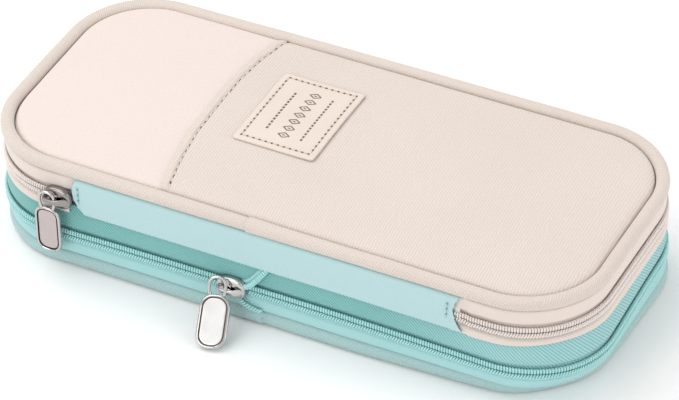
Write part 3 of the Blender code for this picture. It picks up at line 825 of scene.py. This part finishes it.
def end_path(points):
    """Path of a loose chain end on the front wall through (x, z, out) points in millimetres."""
    line = spline([(x * MM, -HALF_WIDTH - out * MM, z * MM) for x, z, out in points], 12)
    lengths = [0.0]
    for a, b in zip(line, line[1:]):
        lengths.append(lengths[-1] + (b - a).length)

    def path(distance):
        distance = min(max(distance, 0.0), lengths[-1])
        k = min(max(i for i, d in enumerate(lengths) if d <= distance), len(line) - 2)
        t = (distance - lengths[k]) / (lengths[k + 1] - lengths[k])
        out = Vector((0, -1, 0))
        up = out.cross((line[k + 1] - line[k]).normalized())
        return tuple(line[k].lerp(line[k + 1], t)), tuple(out), tuple(up)
    return path, lengths[-1]


STRIP = ((0.1, -1.1), (0.9, -1.1), (1.7, -1.1), (2.3, -1.0), (2.6, -1.0), (2.9, -1.3), (3.1, -1.7))
STRIP_STEPS = 40


def loose_end(half, side, body, points):
    """A chain half that has left the slider, with the strip of tape it is woven to."""
    path, length = end_path(points)
    name = "chain_turn_" + half
    coil = coil_mesh(name, path, side, 0.0, length, MATS["mint_coil"])
    put(coil, body, "chain_end_" + half, slot="mint_coil")
    strip, uvs = [], []
    for i in range(STRIP_STEPS + 1):
        walked = length * i / STRIP_STEPS
        point, out, up = (Vector(part) for part in path(walked))
        for across, depth in STRIP:
            strip.append(point + up * side * across * MM + out * depth * MM)
            uvs.append((walked, across * MM))
    faces = grid_faces(STRIP_STEPS + 1, len(STRIP))
    faces = flipped(faces) if side < 0 else faces
    tape = mesh_object(name + "_tape", strip, faces, uvs, MATS["pale_mint_tape"])
    thicken(tape, 0.3 * MM)
    put(tape, body, slot="mint_tape")


loose_end("upper", 1, "case", [(-10.5, 14.1, 0.0), (-8.2, 14.3, 0.2), (-5.9, 15.2, 0.6), (-3.4, 17.4, 0.8),
                               (-0.8, 20.8, 0.6), (1.1, 23.4, -0.3), (2.3, 25.3, -1.5)])
loose_end("lower", -1, "base", [(-11.6, 13.9, 0.0), (-10.6, 12.6, 0.2), (-9.2, 11.0, 0.5), (-7.3, 9.6, 0.6),
                                (-5.0, 8.6, 0.5), (-2.6, 7.9, 0.2), (-1.2, 7.5, -0.4)])

# ================================================================ spine band

BAND_START = walk_at(BAND_LOW.x)
BAND_END = walk_at(BAND_HIGH.x) + TOTAL
LEFT_CUT_Z = (24.0, 25.3, 27.0, 30.0, 33.0, 35.5, 38.5)
LEFT_CUT = (4.6, 4.0, 2.2, 0.5, 0.0, 0.2, 1.9)
END_REACH = 9 * MM


def band_shape(walk, _x, _y, inset, z):
    """The band's ends: the left one with cut corners, the right one bowed in and a little frayed."""
    high = unit((z - SPINE_BOTTOM_Z) / (SPINE_TOP_Z - SPINE_BOTTOM_Z))
    share = (walk - BAND_START) / (BAND_END - BAND_START)
    puff = 0.25 * MM * math.sin(math.pi * high) * min(share * 30, (1 - share) * 30, 1)
    cut = float(np.interp(z / MM, LEFT_CUT_Z, LEFT_CUT)) * math.exp(-(walk - BAND_START) / END_REACH)
    bow = -2.6 * math.sin(math.pi * high) ** 0.8 - 0.3 + wobble(0.35, 0.3, 1.7, z * 900)
    return inset - puff, z, (cut + bow * math.exp(-(BAND_END - walk) / END_REACH)) * MM


band = smooth_profile((3.2, 25.3), (2.2, 24.7), (1.2, 24.35), (0.55, 24.45), (0.2, 24.95), (0.15, 26.0),
                      (0.25, 29.0), (0.3, 33.0), (0.3, 36.6), (0.5, 37.6), (0.95, 38.1), (1.8, 38.3))
spine_cover = around("spine_cover", band, MATS["band"], BAND_START, BAND_END, 300, 0.16 * MM, band_shape)
put(spine_cover, None, "spine_band", slot="mint_canvas")
hem = smooth_profile((1.0, 37.7), (1.5, 38.2), (2.4, 38.5), (3.6, 38.9))
spine_hem = around("spine_hem", hem, MATS["band"], BAND_START, BAND_END, 200)
put(spine_hem, None, slot="mint_canvas")
spine_liner = smooth_profile((4.9, 24.6), (4.3, 25.6), (3.5, 26.4), (3.4, 31), (3.5, 37), (4.2, 38.3))
put(around("spine_liner", spine_liner, MATS["lining"], BAND_START - 0.5 * MM, BAND_END + 0.5 * MM, 160),
    "spine", "spine_lining", slot="lining")
for side, x, slope in (("left", BAND_LOW.x + 2.4 * MM, 0.0), ("right", BAND_HIGH.x - 5.4 * MM, 0.10)):
    line = [Vector((x + slope * k * MM, -HALF_WIDTH - 0.02 * MM, (28.2 + k) * MM)) for k in range(8)]
    seam("spine_stitches_" + side, line, 2.3 * MM, 1.7 * MM, 0.17 * MM, MATS["mint_thread"],
         MATS["mint_hole_shade"], lambda p: Vector((0, -1, 0)), "mint_canvas", "spine")

# ================================================================ the lid's padded top

TOP_SEAM_INSET = 4.65 * MM
TOP_SEAM_Z = 40.2 * MM
SWELL_CAP = 0.7 * MM
SWELL_CELL = 5 * MM
CLOTH_FRAMES = 20


def top_height(x, y):
    """Padded lid: steep beside the piping, nearly flat in the middle, with slight unevenness."""
    inside = max(inside_distance(x, y, TOP_SEAM_INSET), 0.0)
    rise = 0.62 * (1 - math.exp(-inside / (0.55 * MM))) + 0.38 * (1 - math.exp(-inside / (4 * MM)))
    broad = 1 - (1 - min(inside / (38 * MM), 1)) ** 2
    wave = wobble(0.30 * MM, x * 22, y * 26, 3.1) + wobble(0.10 * MM, x * 70, y * 70, 9.4)
    gape = 0.20 + 0.50 * bell(x / MM, -112, 22)
    dip = 1.5 * MM * bell(inside, 0, gape * MM)
    return TOP_SEAM_Z - dip + 1.95 * MM * rise + 1.15 * MM * broad + wave * min(inside / (6 * MM), 1)


def top_normal(place):
    """Upward direction of the pocket panel."""
    step = 0.5 * MM
    dx = (pocket_height(place.x + step, place.y) - pocket_height(place.x - step, place.y)) / (2 * step)
    dy = (pocket_height(place.x, place.y + step) - pocket_height(place.x, place.y - step)) / (2 * step)
    return Vector((-dx, -dy, 1)).normalized()


def inflate(item):
    """Press the padded cover outwards as cloth held at its seam; gives each place and how far it rose."""
    mesh = item.data
    before = np.empty(len(mesh.vertices) * 3)
    mesh.vertices.foreach_get("co", before)
    before = before.reshape(-1, 3)
    held = item.vertex_groups.new(name="seam")
    for i, (x, y, _z) in enumerate(before):
        inside = inside_distance(x, y, TOP_SEAM_INSET)
        held.add([i], 1.0 - ramp((inside - 1.2 * MM) / (5 * MM)), "REPLACE")
    cloth = item.modifiers.new("padding", "CLOTH")
    cloth.settings.quality = 5
    cloth.settings.mass = 0.2
    cloth.settings.bending_stiffness = 2.0
    cloth.settings.use_pressure = True
    cloth.settings.uniform_pressure_force = 4.0
    cloth.settings.vertex_group_mass = "seam"
    cloth.settings.effector_weights.gravity = 0.0
    cloth.collision_settings.use_collision = False
    for step in range(1, CLOTH_FRAMES + 1):
        bpy.context.scene.frame_set(step)
    settled = item.evaluated_get(bpy.context.evaluated_depsgraph_get()).to_mesh()
    after = np.empty(len(mesh.vertices) * 3)
    settled.vertices.foreach_get("co", after)
    rise = np.clip(after.reshape(-1, 3)[:, 2] - before[:, 2], 0.0, None)
    rise = SWELL_CAP * np.tanh(rise / SWELL_CAP)
    item.modifiers.remove(cloth)
    bpy.context.scene.frame_set(1)
    moved = before.copy()
    moved[:, 2] += rise
    mesh.vertices.foreach_set("co", moved.ravel())
    mesh.update()
    return before[:, :2], rise


lid_cover = disc("lid_cover", MATS["panel"], top_height, TOP_SEAM_INSET, 40, stations=220)
swell = {}
places, rises = inflate(lid_cover)
for cell in sorted({tuple(c) for c in np.round(places / SWELL_CELL).astype(int)}):
    near = np.hypot(*(places - np.array(cell) * SWELL_CELL).T) < SWELL_CELL
    swell[cell] = float(rises[near].mean())
subdivide(lid_cover, 1)
put(lid_cover, "lid", "lid_panel", slot="cream_canvas")


def swell_at(x, y):
    """How far the padding has lifted the cover at a place, between the table's cells."""
    a, b = x / SWELL_CELL, y / SWELL_CELL
    i, j = math.floor(a), math.floor(b)
    u, v = ramp(a - i), ramp(b - j)
    level = 0.0
    for di, share in ((0, 1 - u), (1, u)):
        level += share * (swell.get((i + di, j), 0.0) * (1 - v) + swell.get((i + di, j + 1), 0.0) * v)
    return level


# ================================================================ front pocket

HEM = 3.0 * MM
HEM_REACH = 5.5 * MM
HEM_COLUMNS = 38
PANEL_COLUMNS = 200
PANEL_ROWS = 110
CREASES = ((-31.5, 0.20, 1.5), (-36.0, 0.30, 1.8), (3.6, -0.12, 1.6))  # x, slope and width, in millimetres


def pocket_edge(y):
    """The pocket's mouth, bowed a little towards the left end."""
    share = min(abs(y) / (46 * MM), 1)
    bow = 5.1 * MM * (1 - share ** 2.6)
    return POCKET_EDGE_X - 0.7 * MM - 0.75 * y / 45 - bow + wobble(0.3 * MM, y * 160, 3, 8)


def pocket_height(x, y):
    """The pocket panel lies on the lid, with a thick hem at its mouth, a groove and a few creases."""
    past = x - pocket_edge(y)
    hem = ramp(past / (0.9 * MM)) * (1 - ramp((past - 2.0 * MM) / (1.0 * MM)))
    lift = 0.62 * MM + 0.50 * MM * hem - 0.28 * MM * bell(past, HEM, 0.45 * MM)
    crease = 0.0
    for centre, slope, wide in CREASES:
        line = x - (centre * MM + slope * (y - 5 * MM))
        crease += 0.16 * MM * bell(line, 0, wide * MM) * bell(y, 8 * MM, 26 * MM)
    edge = min(max(inside_distance(x, y, TOP_SEAM_INSET), 0) / (3 * MM), 1)
    pull = wobble(0.20 * MM, x * 30 + 4, y * 55, 1.7)
    return top_height(x, y) + swell_at(x, y) + (lift + crease + pull) * (0.35 + 0.65 * edge)


def pocket_panel():
    """Cloth over the lid from the pocket's mouth to the right end, finest along the hem."""
    end = HALF_LENGTH - TOP_SEAM_INSET
    points = []
    for i in range(PANEL_COLUMNS + 1):
        t = max(i - HEM_COLUMNS, 0) / (PANEL_COLUMNS - HEM_COLUMNS)
        near = min(i / HEM_COLUMNS, 1) * HEM_REACH
        for j in range(PANEL_ROWS + 1):
            w = j / PANEL_ROWS * 2 - 1
            w = 0.45 * math.sin(w * math.pi / 2) + 0.55 * w
            first = pocket_edge(w * (HALF_WIDTH - TOP_SEAM_INSET)) + near
            x = first + (end - first) * (1 - (1 - t) ** 1.4)
            y = w * half_width_at(min(x, end), TOP_SEAM_INSET)
            points.append((x, y, pocket_height(x, y)))
    faces = grid_faces(PANEL_COLUMNS + 1, PANEL_ROWS + 1)
    return mesh_object("pocket_cover", points, faces, [p[:2] for p in points], MATS["pocket"])


pocket = pocket_panel()
thicken(pocket, 0.6 * MM)
put(pocket, "lid", "pocket_panel", slot="cream_canvas")

mouth = []
for k in range(-430, 431, 4):
    y = k * 0.1 * MM
    x = pocket_edge(y) + HEM
    if inside_distance(x, y, TOP_SEAM_INSET) > 0.6 * MM:
        mouth.append(Vector((x, y, pocket_height(x, y))))
seam("pocket_stitches", mouth, 3.1 * MM, 2.45 * MM, 0.21 * MM, MATS["thread"], MATS["hole_shade"], top_normal,
     "cream_canvas")

# ================================================================ lid piping, wall and lining

LID_JOINT_X = -7.0 * MM

lid_bead = bead("lid_bead", 2.3 * MM, LID_BEAD_Z - 0.35 * MM, 2.3 * MM, 2.35 * MM, LID_JOINT_X,
                MATS["lid_bead"], 0.13)
put(lid_bead, "lid", "lid_piping", slot="cream_canvas")

lid_wall = smooth_profile((2.6, 30.1), (1.9, 30.4), (1.9, 32.0), (1.6, 32.6), (1.05, 33.1), (0.85, 34.4),
                          (0.8, 36.2), (0.8, 37.3), (1.05, 38.0), (1.8, 38.25), (3.6, 38.4))
put(around("lid_wall_cloth", lid_wall, MATS["lid_wall"], ZIP_START - 5.0 * MM, ZIP_END + 5.0 * MM, 520,
           shape=lambda _walk, x, y, inset, z: (inset + under_band(x, y, z), z, 0.0)),
    "lid", "lid_wall", slot="beige_tape")
lid_inner = smooth_profile((2.6, 30.0), (3.2, 29.9), (4.5, 29.95), (5.0, 30.5), (5.2, 34.0), (5.3, 37.4),
                           (6.4, 38.2), (9.0, 38.3))
put(around("lid_liner_wall", lid_inner, MATS["lining"], ZIP_START, ZIP_END, 360), "lid", slot="lining")
lid_liner = disc("lid_liner", MATS["lining"], lambda x, y: 38.35 * MM + wobble(0.1 * MM, x * 30, y * 30, 5),
                 5.0 * MM, 24, flip=True)
put(lid_liner, "lid", "lid_lining", slot="lining")

# ================================================================ label

LABEL_MID = (LABEL_LOW + LABEL_HIGH) / 2
LABEL_HALF = (LABEL_HIGH - LABEL_LOW) / 2
LABEL_RISE = 0.75 * MM
LABEL_CORNER = 1.0 * MM
LABEL_COLUMNS, LABEL_ROWS = 44, 56
BORDER = 2.4 * MM


def on_label(a, b, lift=0.0):
    """A place on the label's top face; a and b run from -1 to 1."""
    x = LABEL_MID.x + LABEL_HALF.x * a
    y = LABEL_MID.y + LABEL_HALF.y * b
    curl = 0.30 * MM * max(a, 0) ** 4 + 0.18 * MM * abs(b) ** 6
    return Vector((x, y, pocket_height(x, y) + LABEL_RISE + curl + lift))


points = []
for i in range(LABEL_COLUMNS + 1):
    share = i / LABEL_COLUMNS
    a = math.sin((share - 0.5) * math.pi) * 0.25 + (share * 2 - 1) * 0.75
    short = max(LABEL_CORNER - LABEL_HALF.x * (1 - abs(a)), 0)
    limit = 1 - (LABEL_CORNER - math.sqrt(max(LABEL_CORNER ** 2 - short ** 2, 0))) / LABEL_HALF.y
    for j in range(LABEL_ROWS + 1):
        b = (j / LABEL_ROWS * 2 - 1) * limit
        edge = min(LABEL_HALF.x * (1 - abs(a)), LABEL_HALF.y * (limit - abs(b)))
        points.append(on_label(a, b, -0.22 * MM * math.exp(-edge / (0.25 * MM))))
label = mesh_object("label_tag", points, grid_faces(LABEL_COLUMNS + 1, LABEL_ROWS + 1),
                    [(p.x, p.y) for p in points], MATS["label"])
thicken(label, 0.7 * MM)
put(label, "lid", "label_patch", slot="label")

a, b = 1 - BORDER / LABEL_HALF.x, 1 - BORDER / LABEL_HALF.y
corners = [(-a, -b), (a, -b), (a, b), (-a, b), (-a, -b)]
for side, (a0, b0), (a1, b1) in zip(("front", "right", "back", "left"), corners, corners[1:]):
    line = [on_label(a0 + (a1 - a0) * k / 30, b0 + (b1 - b0) * k / 30) for k in range(31)]
    seam("label_stitches_" + side, line, 2.25 * MM, 1.75 * MM, 0.17 * MM, MATS["label_thread"], MATS["hole_shade"],
         lambda p: Vector((0, 0, 1)), "label")


def printed(name, strokes):
    """Flat marks on the label: strokes are ((a0, b0), (a1, b1), width) in millimetres from its middle."""
    points, faces = [], []
    for (a0, b0), (a1, b1), width in strokes:
        run = Vector((a1 - a0, b1 - b0))
        side = Vector((-run.y, run.x)).normalized() * width / 2
        base = len(points)
        for t in (0.0, 0.5, 1.0):
            for k in (-1, 1):
                x = (a0 + run.x * t + side.x * k) * MM
                y = (b0 + run.y * t + side.y * k) * MM
                points.append(on_label(x / LABEL_HALF.x, y / LABEL_HALF.y, 0.03 * MM))
        faces += [(base + 2, base + 3, base + 1, base), (base + 4, base + 5, base + 3, base + 2)]
    return mesh_object(name, points, faces, None, MATS["ink"])


LOZENGE_LEFT, LOZENGE_RIGHT, LOZENGE_HALF = -1.9, 2.2, 1.25
strokes = []
for k in range(7):
    middle = -11.4 + 3.8 * k
    centre = (LOZENGE_LEFT + LOZENGE_RIGHT) / 2
    corners = [(LOZENGE_LEFT, middle), (centre, middle + LOZENGE_HALF), (LOZENGE_RIGHT, middle),
               (centre, middle - LOZENGE_HALF)]
    strokes += [(p, q, 0.42) for p, q in zip(corners, corners[1:] + corners[:1])]
    strokes.append(((centre - 0.5, middle), (centre + 0.5, middle), 0.45))
for x, first, pitch, dash, count, width in ((-6.6, -10.6, 1.65, 1.05, 13, 0.8),
                                            (6.6, -11.8, 1.6, 1.0, 15, 0.75)):
    for k in range(count):
        y = first + pitch * k
        strokes.append(((x, y), (x, y + dash), width))
put(printed("label_marks", strokes), "lid", slot="label")

# ================================================================ net pocket inside the lid

NET_LOW, NET_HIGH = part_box("mesh_pocket")
NET_CELL = 2.7 * MM
NET_GAP = 0.3 * MM
BINDING_STEPS = 90


def net_level(x, y):
    """The net hangs just under the lid and rises to it at its two ends and at the back."""
    edge = min(x - NET_LOW.x, NET_HIGH.x - x, NET_HIGH.y - y)
    share = 1 - unit(edge / (4.5 * MM))
    return NET_LOW.z + NET_GAP + (NET_HIGH.z - NET_LOW.z - NET_GAP) * share ** 2


columns = int((NET_HIGH.x - NET_LOW.x) / NET_CELL)
rows = int((NET_HIGH.y - NET_LOW.y) / NET_CELL)
step_x = (NET_HIGH.x - NET_LOW.x) / columns
step_y = (NET_HIGH.y - NET_LOW.y) / rows
knots = {}


def knot(i, j):
    x = NET_LOW.x + i * step_x / 2
    y = NET_LOW.y + j * step_y / 2
    return knots.setdefault((i, j), (len(knots), (x, y, net_level(x, y))))[0]


faces = [(knot(i - 1, j), knot(i, j - 1), knot(i + 1, j), knot(i, j + 1))
         for i in range(1, 2 * columns) for j in range(1, 2 * rows) if (i + j) % 2 == 0]
net = mesh_object("net_pocket", [p for _k, p in sorted(knots.values())], faces, None, MATS["net"],
                  smooth=False)
threads = net.modifiers.new("threads", "WIREFRAME")
threads.thickness = 0.38 * MM
threads.use_even_offset = False
threads.use_replace = True
put(net, "lid", "mesh_pocket", slot="mesh")

low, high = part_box("mesh_pocket_binding")
binding = []
for i in range(BINDING_STEPS):
    x = low.x + (high.x - low.x) * i / (BINDING_STEPS - 1)
    binding.append((x, (low.y + high.y) / 2, (low.z + high.z) / 2 + wobble(0.12 * MM, x * 60, 0, 4)))
put(tube("net_binding", binding, 0.7 * MM, MATS["binding"], 12), "lid", "mesh_pocket_binding",
    slot="beige_tape")

# ================================================================ sliders and pulls, in millimetres

SHELL_LENGTH, SHELL_WIDTH, SHELL_WAIST = 5.2, 4.05, 1.05
SHELL_RINGS = ((0.5, -0.9), (0.05, -0.6), (0.0, 0.2), (0.0, 0.9), (0.25, 1.35), (0.8, 1.6), (1.8, 1.72),
               (3.0, 1.75))  # inset and height
# the bridge's sections: along, height, half width
BRIDGE = ((-4.3, 1.5, 0.85), (-4.2, 2.4, 0.85), (-3.7, 3.3, 0.85), (-2.6, 3.75, 0.85), (-0.6, 3.8, 0.9),
          (1.4, 3.55, 1.05), (2.9, 2.75, 1.5), (4.0, 2.05, 1.45), (4.5, 1.6, 0.6))
THICK_SECTIONS = 6
LOOP_HALF = ((0.8, 0.05), (2.1, 0.75), (2.75, 2.2), (2.75, 4.0), (2.35, 5.9), (1.7, 6.9))  # across, down
LOOP_DROP = 5.9
PLATE_RINGS = ((0.9, -0.75), (0.3, -0.7), (0.05, -0.45), (0.0, 0.2), (0.12, 0.55), (0.35, 0.75), (0.62, 0.78),
               (0.85, 0.62), (0.95, 0.05), (1.28, 0.05), (1.38, 0.42), (1.7, 0.48))  # inset and height
GROOVE_LEVELS = (7, 8, 9)


def power(value, exponent):
    return math.copysign(abs(value) ** exponent, value)


def slider_piece(prefix, centre_x, centre_z, metal):
    """A domed channel plate with turned-down flanges, and the bridge its pull hangs from."""
    def place(along, up, out):
        return centre_x + along * MM, -HALF_WIDTH - out * MM, centre_z + up * MM

    outline = []
    for turn in circle(56):
        c, s = math.cos(turn), math.sin(turn)
        wide = SHELL_WIDTH if c > 0 else SHELL_WIDTH - SHELL_WAIST * abs(c) ** 1.5
        outline.append((SHELL_LENGTH * power(c, 0.75), wide * power(s, 0.70)))
    rings = []
    for inset, out in SHELL_RINGS:
        scales = [1 - inset / math.hypot(along, up) for along, up in outline]
        rings.append([place(along * scale, up * scale, out) for (along, up), scale in zip(outline, scales)])
    put(loft(prefix + "_shell", rings, metal), prefix, prefix + "_body", slot="metal")

    rings = []
    for k, (along, out, wide) in enumerate(BRIDGE):
        before, after = BRIDGE[max(k - 1, 0)], BRIDGE[min(k + 1, len(BRIDGE) - 1)]
        run = Vector((after[0] - before[0], after[1] - before[1])).normalized()
        thick = 0.42 if k < THICK_SECTIONS else 0.25
        ring = []
        for turn in circle(12):
            c, s = power(math.cos(turn), 0.6), power(math.sin(turn), 0.6)
            ring.append(place(along - run.y * s * thick, wide * c, out + run.x * s * thick))
        rings.append(ring)
    arch = loft(prefix + "_arch", rings, metal)
    subdivide(arch, 2)
    put(arch, prefix, prefix + "_bridge", slot="metal")


def rounded_outline(half_width, length, radius, inset, steps):
    """Rounded rectangle in (side, down), moved in by inset, in millimetres."""
    radius = max(radius - inset, 0.05)
    side = half_width - inset - radius
    low, high = inset + radius, length - inset - radius
    out = []
    for cx, cy, start in ((side, low, -90), (side, high, 0), (-side, high, 90), (-side, low, 180)):
        for step in range(steps + 1):
            turn = math.radians(start + 90 * step / steps)
            out.append((cx + radius * math.cos(turn), cy + radius * math.sin(turn)))
    return out


def pull_piece(prefix, pivot, yaw, lean, ring_lean, plate_size, steps, face_metal):
    """A wire ring through the bridge and a plate with a raised rim, hung from the ring."""
    pivot = Vector(pivot) * MM
    yaw = math.radians(yaw)
    across = Vector((math.cos(yaw), math.sin(yaw), 0))

    def downward(angle):
        angle = math.radians(angle)
        return Vector((math.sin(yaw) * math.sin(angle), -math.cos(yaw) * math.sin(angle), -math.cos(angle)))

    ring_down, down = downward(ring_lean), downward(lean)
    out = down.cross(across)
    line = [(-a, b) for a, b in reversed(LOOP_HALF)] + list(LOOP_HALF)
    wire = spline([pivot + across * a * MM + ring_down * b * MM for a, b in line], 5)
    put(tube(prefix + "_wire", wire, 0.56 * MM, MATS["nickel"]), prefix, prefix + "_loop", slot="metal")

    joint = pivot + ring_down * LOOP_DROP * MM
    rings = [[joint + across * a * MM + down * b * MM + out * height * MM
              for a, b in rounded_outline(*plate_size, inset, steps)] for inset, height in PLATE_RINGS]
    plate = loft(prefix + "_tab", rings, MATS["nickel"])
    plate.data.materials.append(MATS["groove_shade_nickel"])
    plate.data.materials.append(face_metal)
    # the groove ring takes the near-black nickel as painted shade; the face inside the rim takes face_metal
    for face in plate.data.polygons:
        level = min(face.vertices) // len(rings[0])
        if level in GROOVE_LEVELS:
            face.material_index = 1
        elif level > max(GROOVE_LEVELS):
            face.material_index = 2
    plate.data.set_sharp_from_angle(angle=math.radians(35))
    put(plate, prefix, prefix + "_plate", slot="metal")


slider_piece("expander_slider", -12.3 * MM, EXPANDER_Z, MATS["nickel"])
slider_piece("lid_slider", -76.3 * MM, LID_ZIP_Z, MATS["gunmetal"])
pull_piece("expander_pull", (-15.7, -51.3, 18.8), 14, 46.5, 24, (5.2, 18.0, 4.6), 9, MATS["satin"])
pull_piece("lid_pull", (-78.9, -51.4, 32.6), 0, 2, 3, (4.75, 18.0, 3.7), 3, MATS["mauve_nickel"])

# ================================================================ carried-over solids

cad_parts["base_board"].data.materials[0] = MATS["board"]
for name in ("base_rim", "case_rim", "case_rim_top", "lid_rim", "lid_foam", "spine_foam"):
    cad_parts[name].data.materials[0] = MATS["foam"]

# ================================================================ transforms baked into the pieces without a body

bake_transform(gusset_cloth)
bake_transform(spine_cover)
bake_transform(spine_hem)

# ================================================================ floor, light and camera

bpy.ops.mesh.primitive_grid_add(x_subdivisions=4, y_subdivisions=4, size=6.0, location=(0, 0, 0))
floor = bpy.context.object
floor.name = "studio_floor"
floor.data.materials.append(speckled("studio_paper", (0.93, 0.93, 0.93), 60.0, 0.01, 0.95))

scene = bpy.context.scene
world = bpy.data.worlds.new("studio")
scene.world = world
world.use_nodes = True
world.node_tree.nodes["Background"].inputs["Color"].default_value = (1.0, 0.99, 0.985, 1.0)
world.node_tree.nodes["Background"].inputs["Strength"].default_value = 0.75

LIGHTS = (  # name, place, place it is aimed at, size, power, colour
    ("key", (-0.65, 0.05, 1.15), (0, 0, 0.02), 1.2, 8.8, (1.0, 0.985, 0.97)),
    ("front", (-0.35, -1.3, 0.65), (0, 0, 0.02), 0.8, 4.6, (0.97, 0.99, 1.0)),
    ("side", (1.3, 0.10, 0.60), (0.05, 0, 0.02), 1.0, 5.0, (1.0, 0.99, 0.985)),
)
for name, place, aim, size, energy, colour in LIGHTS:
    data = bpy.data.lights.new(name, "AREA")
    data.energy = energy
    data.size = size
    data.color = colour
    light = bpy.data.objects.new(name, data)
    light.location = place
    light.rotation_mode = "QUATERNION"
    light.rotation_quaternion = (Vector(aim) - Vector(place)).to_track_quat("-Z", "Y")
    scene.collection.objects.link(light)

CAMERA_PLACE = (0.51388, -0.93173, 0.89512)
AZIMUTH, ELEVATION, ROLL = math.radians(28.77), math.radians(39.5), math.radians(-2.55)
back = Vector((math.sin(AZIMUTH) * math.cos(ELEVATION), -math.cos(AZIMUTH) * math.cos(ELEVATION),
               math.sin(ELEVATION)))
level = Vector((math.cos(AZIMUTH), math.sin(AZIMUTH), 0))
right = level * math.cos(ROLL) + back.cross(level) * math.sin(ROLL)
turned = Matrix((right, back.cross(right), back)).transposed().to_4x4()
camera = bpy.data.objects.new("camera", bpy.data.cameras.new("camera"))
camera.data.lens = 220.8
camera.data.sensor_width = 36.0
camera.data.clip_end = 20.0
camera.matrix_world = Matrix.Translation(CAMERA_PLACE) @ turned
scene.collection.objects.link(camera)
scene.camera = camera
scene.view_settings.view_transform = "Standard"

bpy.context.view_layer.update()
